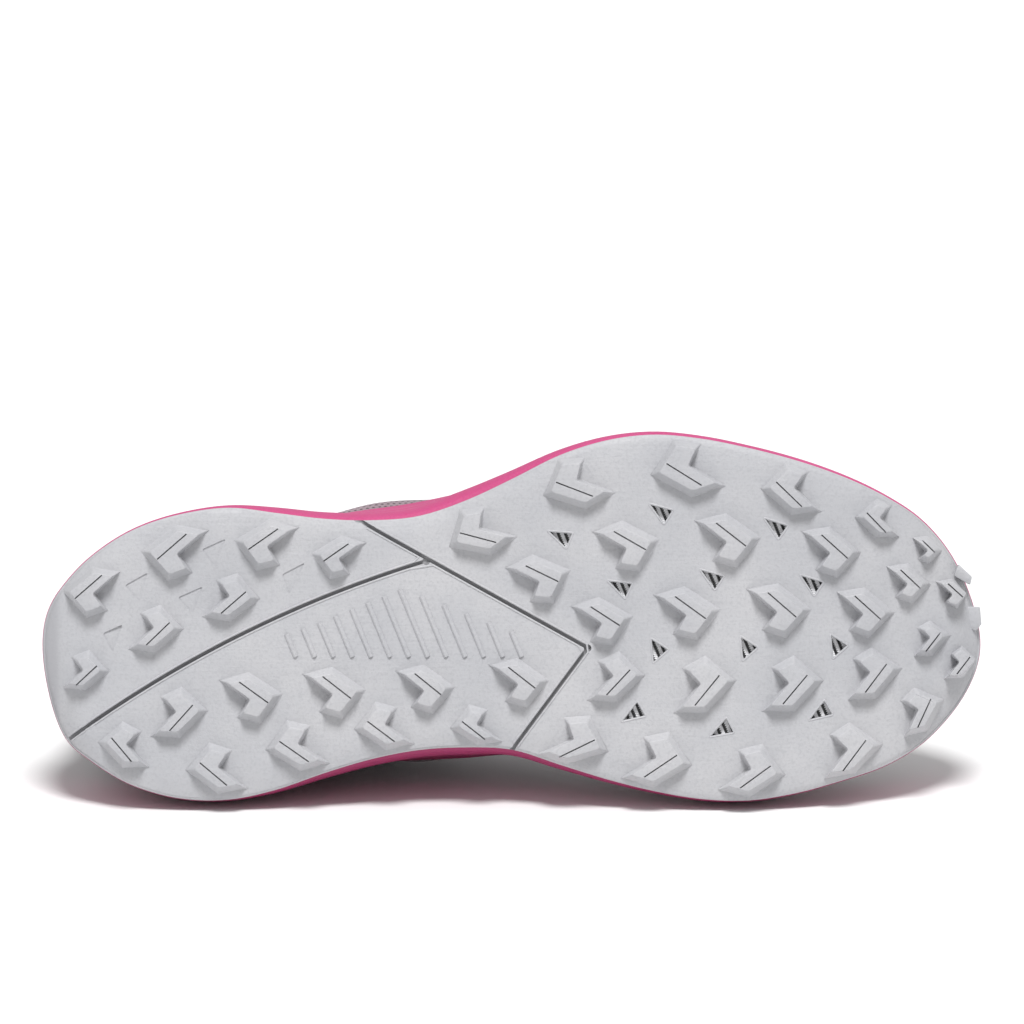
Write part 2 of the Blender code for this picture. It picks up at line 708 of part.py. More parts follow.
def make_plate(finish):
    """Stiff sheet that shows in the windows, in a recess of the midsole."""
    theta = ring_angles()
    low = RUBBER + GAP
    levels = (SPINE_LEVEL, MIDDLE_LEVEL, RECESS_LEVEL - RECESS_WALL)
    rings = [sheet_ring(theta, level, low) for level in levels]
    rings += [sheet_ring(theta, level, low + PLATE) for level in reversed(levels)]
    return ringed_solid("plate", rings, finish)


def midsole_sides(theta):
    """Rings of the side of the midsole, from the tread's edge to the rim around the upper."""
    low = sheet_ring(theta, 1.0, RUBBER + GAP)
    rim = upper_point(theta, RIM_LEVEL, GAP + RIM_WALL)
    flare = WAIST_FLARE * around(SOLE["along"], SOLE["flare_medial"], SOLE["flare_lateral"], theta)
    out = np.concatenate([outward(theta), np.zeros((len(theta), 1))], axis=-1)
    rings = []
    for level in SIDE_LEVELS:
        plan_share = level**SIDE_CURVE
        ring = low + (rim - low) * (plan_share, plan_share, level)
        bulge = math.sin(math.pi * level**FLARE_CURVE) if 0.0 < level < 1.0 else 0.0
        rings.append(ring + out * (flare * bulge)[:, None])
    return rings


def make_midsole(finish):
    """One foam piece with a recess for the plate and a rim that holds the upper."""
    theta = ring_angles()
    recess = RUBBER + PLATE + 2.0 * GAP
    rings = [sheet_ring(theta, level, recess) for level in (SPINE_LEVEL, MIDDLE_LEVEL, RECESS_LEVEL)]
    rings.append(sheet_ring(theta, RECESS_LEVEL + RECESS_WALL, RUBBER + GAP))
    rings.append(sheet_ring(theta, OUTER_LEVEL, RUBBER + GAP))
    rings += midsole_sides(theta)
    rings.append(upper_point(theta, RIM_LEVEL, GAP))
    seat = upper_point(theta, 0.0, GAP)
    seat[:, 2] = footbed(seat[:, 0])
    rings.append(seat)
    centre = spine(theta)
    for level in SEAT_LEVELS:
        plan = centre + (seat[:, :2] - centre) * level
        rings.append(stacked(plan[:, 0], plan[:, 1], footbed(plan[:, 0])))
    return ringed_solid("midsole", rings, finish)


def make_insole(finish):
    """Footbed that lies inside the upper."""
    theta = ring_angles()
    edge = upper_point(theta, 0.0, -WALL - 2.0 * GAP)
    centre = spine(theta)
    rings = []
    for level, top in INSOLE_RINGS:
        plan = centre + (edge[:, :2] - centre) * level
        rings.append(stacked(plan[:, 0], plan[:, 1], footbed(plan[:, 0]) + GAP + INSOLE * top))
    return ringed_solid("insole", rings, finish)


def make_upper(finish):
    """One hollow shell, open at the collar, at the throat and underneath."""
    theta = ring_angles()
    rings = [upper_point(theta, level) for level in UPPER_LEVELS]
    rings += [upper_point(theta, level, -wall(theta, level)) for level in reversed(UPPER_LEVELS)]
    return ringed_solid("upper", rings, finish, tube=True)


def overlay(name, theta, low, high, rows, finish):
    """Sheet on the upper's own surface, between two levels for each angle."""
    shares = np.linspace(0.0, 1.0, rows)
    levels = low[:, None] + (high - low)[:, None] * shares
    angles = np.repeat(theta[:, None], len(shares), axis=1)
    return slab(name, upper_point(angles, levels, GAP + OVERLAY), upper_point(angles, levels, GAP), finish)


def make_toe_cap(finish):
    end = float(station_angle(TOE_CAP_END))
    theta = np.linspace(end, 2.0 * math.pi - end, 25)
    fullness = ease(TOE_CAP_END, 1.0, share_along(theta)) ** 0.5
    high = TOE_CAP_LOW + (TOE_CAP_HEIGHT - TOE_CAP_LOW) * fullness
    low = np.full(len(theta), OVERLAY_FOOT)
    return overlay("toe_cap", theta, low, high, OVERLAY_ROWS, finish)


def make_heel_counter(finish):
    end = float(station_angle(COUNTER_END))
    theta = np.linspace(-end, end, 23)
    fullness = 1.0 - ease(0.0, COUNTER_END, share_along(theta))
    high = COUNTER_LOW + (COUNTER_HEIGHT - COUNTER_LOW) * fullness
    low = np.full(len(theta), OVERLAY_FOOT)
    return overlay("heel_counter", theta, low, high, OVERLAY_ROWS, finish)


def make_eyestay(finish):
    start = float(station_angle(EYESTAY_START))
    theta = np.linspace(start, 2.0 * math.pi - start, 45)
    low = np.full(len(theta), EYESTAY_FOOT)
    high = np.full(len(theta), EYESTAY_HEAD)
    return overlay("eyestay", theta, low, high, EYESTAY_ROWS, finish)


def eyelet_angles():
    """Angles of the eyelets on the inner side, from the front of the throat up."""
    return station_angle(np.linspace(EYELET_FIRST, EYELET_LAST, EYELET_PAIRS))


def make_eyelet_cutters():
    """Round punches through the eyestay and the upper."""
    made = bmesh.new()
    reach = 2.0 * WALL + OVERLAY
    for theta in np.concatenate([eyelet_angles(), -eyelet_angles()]):
        middle = Vector(upper_point(theta, EYELET_LEVEL))
        way = (Vector(upper_point(theta, EYELET_LEVEL, reach)) - middle).normalized()
        turn = way.to_track_quat("Z", "Y").to_matrix().to_4x4()
        bmesh.ops.create_cone(
            made,
            cap_ends=True,
            segments=8,
            radius1=EYELET / 2.0,
            radius2=EYELET / 2.0,
            depth=2.0 * reach,
            matrix=Matrix.Translation(middle) @ turn,
        )
    return add_object("eyelet_cutters", made, None, guide=True)


def make_tongue(upper, finish):
    """Padded strip under the throat, fitted below the inside of the upper."""
    tree = surface_tree(upper)
    front = float(upper_edge(math.pi)[0]) + TONGUE_TUCK
    rear = float(upper_edge(float(station_angle(EYESTAY_START)))[0])
    across = np.linspace(-1.0, 1.0, 11)
    rows = [tongue_row(tree, x, across, front, rear) for x in np.linspace(front, rear, 10)]
    last = rows[-1]
    crest = last[len(across) // 2]
    climb = crest - rows[-3][len(across) // 2]
    climb = climb / np.linalg.norm(climb)
    for share, narrow in TONGUE_HEAD:
        spread = (last - crest) * (1.0, narrow, 1.0 - share / 2.0)
        rows.append(crest + climb * TONGUE_RISE * share + spread)
    top = np.array(rows)
    normal = np.cross(np.gradient(top, axis=0), np.gradient(top, axis=1))
    normal = normal / np.linalg.norm(normal, axis=-1, keepdims=True)
    normal = normal * np.sign(normal[..., 2:3])
    taper = 1.0 - 0.5 * np.abs(across) ** 4
    return slab("tongue", top, top - normal * (TONGUE * taper)[None, :, None], finish)


def tongue_row(tree, x, across, front, rear):
    """Arch across the throat that stays clear below the upper."""
    share = (front - x) / (front - rear)
    half = TONGUE_WIDTH / 2.0 * (TONGUE_FRONT + (1.0 - TONGUE_FRONT) * share)
    middle = BALL_WIDTH * float(np.interp(x / SOLE_LENGTH, UPPER["edge_along"], UPPER["ridge"]))
    ceiling = {}
    for y in np.concatenate([np.linspace(-half, half, TONGUE_PROBES), across * half]):
        start = Vector((x, middle + y, footbed(x) + INSOLE + TONGUE))
        hit = tree.ray_cast(start, Vector((0.0, 0.0, 1.0)))[0]
        if hit is not None:
            ceiling[float(y)] = hit.z
    inner = min(abs(y) for y in ceiling)
    crest = min(z for y, z in ceiling.items() if abs(y) < inner + 2.0 * WALL)
    heights = []
    for y in across * half:
        arch = crest + TONGUE_ARCH * (inner * inner - y * y)
        heights.append(min(arch, ceiling.get(float(y), arch)) - TONGUE_CLEAR)
    return stacked(np.full(len(across), x), middle + across * half, np.array(heights))


def over_edge(theta):
    """Lace that comes out of an eyelet and runs over the edge of the throat."""
    seat = 2.0 * GAP + OVERLAY + LACE / 2.0 + LACE_PLAY
    return [upper_point(theta, EYELET_LEVEL + EYELET_RIM, seat), upper_point(theta, EYESTAY_HEAD, seat)]


def under_edge(theta):
    """End of the lace's visible stretch, level with the wall of the upper and just inside the throat."""
    near = upper_point(theta, 1.0, -WALL / 2.0 - LACE_PLAY)
    far = upper_point(-theta, 1.0, -WALL / 2.0 - LACE_PLAY)
    return near + (far - near) * LACE_INSIDE


def lace_path(start, end):
    """Points over the throat from the first pieces of lace to the last, arched over the tongue."""
    a, b = start[-1], end[0]
    arch = np.array((0.0, 0.0, LACE_ARCH))
    middle = []
    for share in (0.25, 0.5, 0.75):
        middle.append(a * (1.0 - share) + b * share + arch * 4.0 * share * (1.0 - share))
    return np.array(start + middle + end)


def lace_strap(made, path):
    """Flat strap along a path, closed at both ends."""
    run = np.gradient(path, axis=0)
    run = run / np.linalg.norm(run, axis=-1, keepdims=True)
    instep = upper_edge(station_angle(EYESTAY_START)) - upper_edge(math.pi)
    across = instep - run * (run @ instep)[:, None]
    across = across / np.linalg.norm(across, axis=-1, keepdims=True)
    up = np.cross(run, across)
    up = up * np.sign(up[:, 2:3])
    loops = []
    for point, side, rise in zip(path, across, up):
        corners = []
        for i, j in ((-1, -1), (1, -1), (1, 1), (-1, 1)):
            corners.append(made.verts.new(point + side * (i * LACE_WIDTH / 2.0) + rise * (j * LACE / 2.0)))
        loops.append(corners)
    made.faces.new(loops[0])
    made.faces.new(loops[-1])
    for low, high in zip(loops, loops[1:]):
        for i in range(4):
            j = (i + 1) % 4
            made.faces.new((low[i], low[j], high[j], high[i]))


def make_laces(finish):
    """One bar at the front of the throat and a crossing between each two pairs of eyelets."""
    angles = eyelet_angles()
    made = bmesh.new()
    lace_strap(made, lace_path([under_edge(angles[0])], [under_edge(-angles[0])]))
    pieces = [add_object("lace_bar", made, finish)]
    for i in range(EYELET_PAIRS - 1):
        straps = []
        for low, high in ((angles[i], -angles[i + 1]), (-angles[i], angles[i + 1])):
            made = bmesh.new()
            lace_strap(made, lace_path(over_edge(low), [under_edge(high)]))
            straps.append(made)
        crossing = add_object(f"lace_crossing_{i + 1}", straps[0], finish)
        boolean(crossing, "UNION", add_object(f"lace_strap_{i + 1}", straps[1], None, guide=True))
        pieces.append(crossing)
    return pieces


def resting_matrix(pieces):
    """Turn and shift that lay the shoe on the flat face of its hull on the inner side."""
    points = []
    depsgraph = bpy.context.evaluated_depsgraph_get()
    for piece in pieces:
        cut_piece = piece.evaluated_get(depsgraph)
        points += [vertex.co.copy() for vertex in cut_piece.data.vertices]
    hull = bmesh.new()
    for point in points:
        hull.verts.new(point)
    bmesh.ops.convex_hull(hull, input=hull.verts[:])
    balance = Vector((BALANCE_ALONG * SOLE_LENGTH, 0.0, BALANCE_UP * HEEL_STACK))
    best = None
    for face in hull.faces:
        normal = face.normal
        if normal.dot(face.calc_center_median() - balance) < 0.0:
            normal = -normal
        foot = balance + normal * normal.dot(face.verts[0].co - balance)
        if inside_triangle(foot, face) and (best is None or normal.y > best[0].y):
            best = (normal.copy(), face.verts[0].co.copy())
    hull.free()
    down, on_floor = best
    along = Vector((1.0, 0.0, 0.0))
    along = (along - down * along.dot(down)).normalized()
    up = -down
    back = up.cross(along)
    turn = Matrix((along, back, up))
    turned = np.array([turn @ point for point in points])
    low, high = turned.min(axis=0), turned.max(axis=0)
    shift = Vector((-(low[0] + high[0]) / 2.0, -(low[1] + high[1]) / 2.0, -(turn @ on_floor).z))
    return Matrix.Translation(shift) @ turn.to_4x4()


def inside_triangle(point, face):
    a, b, c = [vertex.co for vertex in face.verts[:3]]
    normal = (b - a).cross(c - a)
    if normal.length < 1e-12:
        return False
    for start, end in ((a, b), (b, c), (c, a)):
        if (end - start).cross(point - start).dot(normal) < 0.0:
            return False
    return True


def main():
    clear_scene()
    rubber = material("grey rubber", (0.62, 0.62, 0.65), 0.6)
    carbon = material("plate weave", (0.02, 0.02, 0.02), 0.35)
    foam = material("pink foam", (0.70, 0.09, 0.27), 0.55)
    mesh_cloth = material("grey mesh", (0.42, 0.33, 0.37), 0.85)
    film = material("dark film", (0.03, 0.03, 0.035), 0.5)
    padding = material("dark padding", (0.05, 0.05, 0.055), 0.9)
    lining = material("insole cloth", (0.06, 0.06, 0.065), 0.95)
    cord = material("lace cloth", (0.72, 0.10, 0.28), 0.8)
    upper = make_upper(mesh_cloth)
    eyestay = make_eyestay(film)
    punches = make_eyelet_cutters()
    boolean(upper, "DIFFERENCE", punches)
    boolean(eyestay, "DIFFERENCE", punches)
    pieces = [make_outsole(rubber), make_plate(carbon), make_midsole(foam), make_insole(lining), upper]
    pieces += [make_toe_cap(film), make_heel_counter(film), eyestay, make_tongue(upper, padding)]
    pieces += make_laces(cord)
    shoe = bpy.data.objects.new("shoe", None)
    bpy.context.scene.collection.objects.link(shoe)
    shoe.matrix_world = resting_matrix(pieces)
    for thing in bpy.data.objects:
        if thing is not shoe:
            thing.parent = shoe


main()
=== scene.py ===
"""Looks of a trail running shoe that lies on its inner side, seen at its sole.

Pieces are shaped standing: +X to the toe, +Y to the inner (medial) side, +Z up, the tops of the lugs on
Z = 0. laid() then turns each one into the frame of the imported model. Metres throughout.
"""

import json
import math

import bmesh
import bpy
import numpy as np
from mathutils import Matrix, Vector
from mathutils.bvhtree import BVHTree


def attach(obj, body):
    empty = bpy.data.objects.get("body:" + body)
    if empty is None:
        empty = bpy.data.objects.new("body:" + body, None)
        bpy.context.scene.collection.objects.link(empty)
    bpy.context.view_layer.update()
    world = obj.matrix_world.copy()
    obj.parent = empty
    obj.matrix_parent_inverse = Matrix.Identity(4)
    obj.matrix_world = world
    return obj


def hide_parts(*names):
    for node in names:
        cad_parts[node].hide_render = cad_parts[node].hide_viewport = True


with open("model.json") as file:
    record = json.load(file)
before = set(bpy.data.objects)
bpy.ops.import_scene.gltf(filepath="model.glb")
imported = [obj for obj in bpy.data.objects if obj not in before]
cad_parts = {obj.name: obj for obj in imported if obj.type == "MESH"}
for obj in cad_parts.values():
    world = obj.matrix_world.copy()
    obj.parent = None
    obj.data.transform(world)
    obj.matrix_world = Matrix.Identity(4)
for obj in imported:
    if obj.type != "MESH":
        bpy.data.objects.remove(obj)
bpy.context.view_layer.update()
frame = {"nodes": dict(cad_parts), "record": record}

# Driving sizes of the sole
SOLE_LENGTH = 0.294
BALL_WIDTH = 0.114
HEEL_STACK = 0.033
BALL_STACK = 0.027
TOE_SPRING = 0.016
TOE_LIFT = 0.010
ARCH_RISE = 0.0015
HEEL_BEVEL = 0.004
EDGE_ROLL = 0.0012
TOE_ROLL = 0.005
RUBBER = 0.0022
PLATE = 0.0010
WAIST_FLARE = 0.0042
SOLE_TUCK = 0.0100
RIM_WALL = 0.0028
INSOLE = 0.0040

# Driving sizes of the tread
LUG_HEIGHT = 0.0042
LUG_LENGTH = 0.0206
LUG_DRAFT = 0.0015
NOTCH_DRAFT = 0.0006
LUG_ROOT = 0.0008
WINDOW_SIZE = 0.0062
CHANNEL_BULGE = 0.0058

# Driving sizes of the upper, heights above the ground
COLLAR_HEIGHT = 0.103
INSTEP_HEIGHT = 0.107
VAMP_HEIGHT = 0.067
THROAT_WIDTH = 0.030
ANKLE_WIDTH = 0.064
WALL = 0.0020
COLLAR_PAD = 0.0035
OVERLAY = 0.0009
EYELET = 0.0042
EYELET_PAIRS = 6
LACE_WIDTH = 0.0055
LACE = 0.0014
LACE_PLAY = 0.0004
LACE_ARCH = 0.0012
LACE_INSIDE = 0.11
LACE_PINCH = 0.36
PUNCH = 0.012
PUNCH_SIDES = 18

# Clearance between two pieces that touch
GAP = 0.0003

# Where the sole leaves the ground, as shares of its length
BEVEL_END = 0.09
ARCH_START = 0.30
ARCH_END = 0.56
SPRING_START = 0.72
SPRING_CURVE = 1.8

# How late the side of the midsole turns in to the rim, and how low its flare stands out furthest
SIDE_CURVE = 2.4
FLARE_CURVE = 0.62

# Ends of the spine that the rings of the sole shrink to, as shares of its length
SPINE_HEEL = 0.16
SPINE_TOE = 0.82

# Ranges where a shape eases in or out, as shares of the sole's length: heel drop, roll of the toe's edge,
# throat behind the collar and padding of the collar; the last one is a share of the wall's height
DROP_RANGE = (0.25, 0.62)
TOE_RANGE = (0.90, 1.0)
THROAT_RANGE = (0.33, 0.47)
PAD_RANGE = (0.30, 0.42)
PAD_LEVELS = (0.45, 0.78)

# Step of a numeric slope, in radians or metres, and tries around the tread for the nearest edge
STEP = 1e-3
EDGE_TRIES = 721

# Levels of the rings of the sole, as shares of the way out from the spine or up the wall
ROLL_LEVEL = 0.8
RECESS_LEVEL = 0.77
RIM_LEVEL = 0.10
SPINE_LEVEL = 0.15
MIDDLE_LEVEL = 0.5
RECESS_WALL = 0.03
CHANNEL_STEPS = 14

# Fine detail of the tread
FINE = 320
TREAD_LEVELS = (0.0, 0.15, 0.3, 0.5, 0.65, ROLL_LEVEL, 0.85, 0.89, 0.93, 0.96, 0.98)
SHEET_ROUND = 0.0007
LUG_WAIST = 0.84
LUG_FLARE = 0.0004
LUG_SINK = 0.0005
LUG_CORNER = 0.0008
LUG_RIM = 0.0007
LUG_SLOPE = 1.22
LUG_STEEP = 0.4
SKIN = 0.9
SIPE_WIDTH = 0.0004
SIPE_DEPTH = 0.0016
SIPE = ((-0.68, -0.22), (-0.23, 0.13))
WINDOW_CORNER = 0.0008
WINDOW_OPEN = 1.18
BEAD = 0.0008
CHANNEL_CUT = 0.00082
CHANNEL_SINK = 0.00055
CHANNEL_REACH = 0.0022
# Depth into the sheet past which a face down in a channel takes the painted shade
CHANNEL_PAINTED_SHADE_DEPTH = 0.00050
LIP_OFF = 0.00088
LIP = 0.00034
LIP_RISE = 0.00005
MEETING = 0.0012
MEETING_DEPTH = 0.0009
MEETING_SIDES = 24
CHANNEL_MEETINGS = ((0.4085, -0.2300), (0.5800, 0.0080))
TOE_LUGS = 0.93
TOE_EDGE = 0.98
TOE_SLOPE = 0.6
TOE_OVERHANG = 0.0018
RIB = 0.0018
BUMPER_DROP = 0.0012
BUMPER_RISE = 0.0030
BUMPER_RIM = 0.0004
RIB_SLANT = 0.16
RIB_STEPS = 9
POCKET_DEPTH = 0.00035

# Plain parallel ribs of the middle panel: where the first one is along the sole and how far apart they
# are, where each one starts across the sole, and where they all end
RIB_FIRST = 0.27
RIB_PITCH = 0.02
RIB_STARTS = (
    -0.030, -0.046, -0.062, -0.080, -0.098, -0.116, -0.134, -0.152, -0.134, -0.110, -0.086, -0.062, -0.038,
)
RIB_END = 0.032

# Raised lips beside the channels: for each run the channel, the side, and the shares where it starts and ends
LIPS = (
    ((1, 1, 0.085, 0.30), (0, 1, 0.030, 0.950)),
    ((1, -1, 0.110, 0.985), (2, -1, 0.04, 0.88)),
    ((0, -1, 0.950, 0.045), (1, 1, 0.360, 0.960), (2, 1, 0.06, 0.88)),
)

# Corners of the blocks on the edge of the toe, along and across
BUMPERS = (
    ((0.9760, -0.2216), (0.9905, -0.1868), (0.9885, -0.1640), (0.9710, -0.1893)),
    ((0.9820, -0.1052), (0.9995, -0.1038), (1.0010, -0.0560), (0.9950, -0.0370), (0.9800, -0.0503)),
)

# Corners of the shallow triangles of the heel, along and across
HEEL_TRIANGLES = [
    ((0.1702, -0.2623), (0.1957, -0.2923), (0.1840, -0.2158)),
    ((0.0883, -0.1639), (0.1128, -0.1995), (0.1043, -0.1202)),
    ((0.1447, -0.1311), (0.1713, -0.1612), (0.1606, -0.0874)),
    ((0.0649, -0.0328), (0.0862, -0.0574), (0.0755, 0.0191)),
    ((0.2553, -0.1940), (0.2798, -0.2268), (0.2628, -0.1393)),
]

# Point of the heel mount on the standing shoe
HEEL_MOUNT = (0.04371078, -0.03314262, 0.0)

# Fine detail of the foam and the upper
SIDE_ROWS = 40
THIN_RIM = 0.0009
THIN_RIM_AT = 0.365
THIN_RIM_WIDE = 0.07
FOAM_LEVELS = (0.87, 0.93, 0.97)
RIM_ROLL = 0.014
RIM_LEVELS = (0.07, 0.035)
FOOTBED_LEVELS = (0.8, 0.55, 0.2, 0.0)
GROOVE_DEPTH = 0.0009
GROOVE_WIDTH = 0.035
GROOVE_EASE = 0.07
OUTER_ROWS = 46
INNER_ROWS = 26
INWARD = 0.3
BULGE_EASE = (RIM_LEVEL + 0.01, 0.24)
CREASE_LEAN = 0.12
TOE_GRID = (110, 18)
COUNTER_GRID = (100, 24)
EYESTAY_GRID = (220, 14)
STITCH = 0.0021
STITCH_THICK = 0.00045
STITCH_PITCH = 0.0030
STITCH_PROBES = 400
STITCH_LOW = 0.018
STITCH_HIGH = 0.012
COLLAR_STITCH = 0.93
EYELET_RING = 0.0006
LACE_POINTS = 72
LACE_SIDES = 16
LACE_SQUARE = (0.6, 0.8)
LACE_SHARES = (0.15, 0.3, 0.5, 0.7, 0.85)

# Weave, cloth, stage, lights and camera. MEDIAL_FOAM_PAINTED_SHADE has the heights and BEVEL_PAINTED_SHADE
# the places along the shoe between which the colour turns to a painted shade: low on the foam's medial side,
# next to the floor, and on the heel bevel of the rubber. The greys of the rubber are low, high, streak, speck
# and bevel, the last one that painted shade.
YARN = 0.0006
STRIPE = 0.00204
STRIPE_RUN = 0.919
STRIPE_RISE = 0.394
CELL_WIDE = 0.0020
CELL_HIGH = 0.0017
FLOOR_GAP = 0.0002
MEDIAL_FOAM_PAINTED_SHADE = (0.010, 0.050)
BEVEL_PAINTED_SHADE = (-0.1432, -0.1408)
RUBBER_TINTS = (
    (0.400, 0.403, 0.423), (0.458, 0.456, 0.470), (0.31, 0.31, 0.335), (0.31, 0.31, 0.33), (0.36, 0.36, 0.38),
)
MESH_YARN = 0.00045
PLAIT = 0.0011
WORLD = 0.47
SUN = 3.3
SUN_FROM = (0.035, -0.40, 0.90)
SUN_WIDE = 0.32
LIGHTS = [
    ("fill", (-1.2, -1.2, 0.7), (0.0, 0.0, 0.05), 1.4, 2.0),
    ("rim", (0.9, 1.2, 1.0), (0.0, 0.0, 0.05), 1.2, 3.0),
]
VIEW_CENTRE = (0.1469, -0.0416, 0.0)
LENS = 400.0
VIEW_DISTANCE = 3.549
SENSOR = 36.0
CLIP = (0.01, 50.0)
FLOOR_SIZE = 40.0
FLOOR_TONE = (0.89, 0.89, 0.89)


def columns(names, rows):
    """A table as one array for each named column."""
    return dict(zip(names.split(), np.array(rows, dtype=float).T))


# Half widths of the tread as shares of the ball width. Flare is the foam that stands past the tread, as
# a share of the waist flare; tuck is how far the upper stands inside the tread, as a share of the tuck.
SOLE = columns(
    "along lateral medial flare_lateral flare_medial tuck_lateral tuck_medial",
    [
        (0.00, 0.700, 0.700, 0.12, 0.12, 0.80, 0.80),
        (0.02, 0.557, 0.839, 0.12, 0.12, 0.84, 0.86),
        (0.05, 0.546, 0.720, 0.13, 0.13, 0.92, 0.96),
        (0.10, 0.533, 0.647, 0.15, 0.13, 0.98, 1.04),
        (0.15, 0.505, 0.590, 0.18, 0.14, 0.96, 1.06),
        (0.20, 0.471, 0.529, 0.24, 0.18, 0.84, 1.00),
        (0.25, 0.418, 0.457, 0.45, 0.30, 0.60, 0.82),
        (0.30, 0.378, 0.383, 0.48, 0.45, 0.28, 0.52),
        (0.35, 0.359, 0.328, 0.50, 0.52, 0.00, 0.26),
        (0.40, 0.361, 0.294, 0.62, 0.52, -0.06, 0.08),
        (0.45, 0.398, 0.282, 0.74, 0.50, 0.14, 0.06),
        (0.50, 0.456, 0.287, 0.62, 0.45, 0.44, 0.22),
        (0.55, 0.523, 0.329, 0.45, 0.38, 0.66, 0.46),
        (0.60, 0.573, 0.375, 0.36, 0.30, 0.78, 0.66),
        (0.65, 0.605, 0.419, 0.30, 0.24, 0.84, 0.80),
        (0.70, 0.618, 0.460, 0.28, 0.20, 0.84, 0.86),
        (0.75, 0.625, 0.492, 0.26, 0.17, 0.80, 0.86),
        (0.80, 0.635, 0.509, 0.25, 0.15, 0.76, 0.82),
        (0.85, 0.650, 0.522, 0.22, 0.13, 0.70, 0.76),
        (0.90, 0.673, 0.547, 0.18, 0.12, 0.68, 0.72),
        (0.94, 0.701, 0.558, 0.14, 0.11, 0.66, 0.68),
        (0.97, 0.700, 0.545, 0.12, 0.10, 0.65, 0.66),
        (1.00, 0.520, 0.520, 0.10, 0.10, 0.64, 0.64),
    ],
)

# Profiles of the upper, each from the sole up to the collar or the throat. Edge is the end of the profile:
# along as a share of the sole's length, ridge as a share of the ball width, half gap as a share of half the
# ankle's width at the collar and of half the throat's width ahead of it. Heights are shares of the collar,
# instep and vamp heights. Rise and belly shape the wall above the sole, lean and drop shape it below the
# edge.
UPPER = columns(
    "along edge_along ridge half_gap collar instep vamp dip rise belly lean drop",
    [
        (0.00, 0.041, 0.030, 0.000, 1.00, 0.00, 0.00, 0.00, 0.23, 0.050, -0.03, 0.22),
        (0.02, 0.046, 0.030, 0.267, 0.99, 0.00, 0.00, 0.00, 0.23, 0.048, -0.03, 0.22),
        (0.06, 0.068, 0.030, 0.606, 0.95, 0.00, 0.00, 0.00, 0.23, 0.040, -0.02, 0.21),
        (0.12, 0.122, 0.028, 0.884, 0.87, 0.00, 0.00, 0.01, 0.22, 0.030, -0.01, 0.19),
        (0.20, 0.204, 0.018, 1.001, 0.81, 0.00, 0.00, 0.03, 0.22, 0.030, 0.00, 0.17),
        (0.28, 0.282, 0.002, 0.983, 0.82, 0.03, 0.00, 0.03, 0.24, 0.036, 0.03, 0.17),
        (0.35, 0.350, -0.012, 0.881, 0.63, 0.31, 0.00, 0.02, 0.26, 0.050, 0.06, 0.18),
        (0.41, 0.405, -0.022, 0.946, 0.00, 0.99, 0.00, 0.00, 0.28, 0.058, 0.10, 0.18),
        (0.47, 0.456, -0.030, 1.087, 0.00, 0.94, 0.00, 0.00, 0.28, 0.056, 0.12, 0.15),
        (0.55, 0.537, -0.038, 0.996, 0.00, 0.50, 0.51, 0.00, 0.26, 0.044, 0.14, 0.11),
        (0.63, 0.612, -0.042, 0.927, 0.00, 0.18, 0.85, 0.00, 0.24, 0.036, 0.16, 0.08),
        (0.70, 0.655, -0.044, 0.821, 0.00, 0.03, 1.01, 0.00, 0.22, 0.030, 0.18, 0.05),
        (0.80, 0.680, -0.046, 0.654, 0.00, 0.00, 1.02, 0.00, 0.21, 0.028, 0.22, 0.03),
        (0.90, 0.696, -0.046, 0.410, 0.00, 0.00, 1.01, 0.00, 0.20, 0.026, 0.31, 0.02),
        (0.96, 0.702, -0.046, 0.213, 0.00, 0.00, 1.00, 0.00, 0.20, 0.026, 0.39, 0.02),
        (1.00, 0.704, -0.046, 0.000, 0.00, 0.00, 1.00, 0.00, 0.20, 0.026, 0.41, 0.02),
    ],
)

# Corners of one lug that points to the toe with its long arm on the outer side, from its apex, as
# shares of the lug's length; draft is the slope of the side that starts there
LUG = (
    ("apex", 0.0, 0.0, LUG_DRAFT),
    ("long shoulder", -0.53, -0.365, LUG_DRAFT),
    ("long tip", -1.0, -0.26, NOTCH_DRAFT),
    ("notch", -0.56, 0.075, NOTCH_DRAFT),
    ("short tip", -0.73, 0.35, LUG_DRAFT),
    ("short shoulder", -0.365, 0.455, LUG_DRAFT),
)

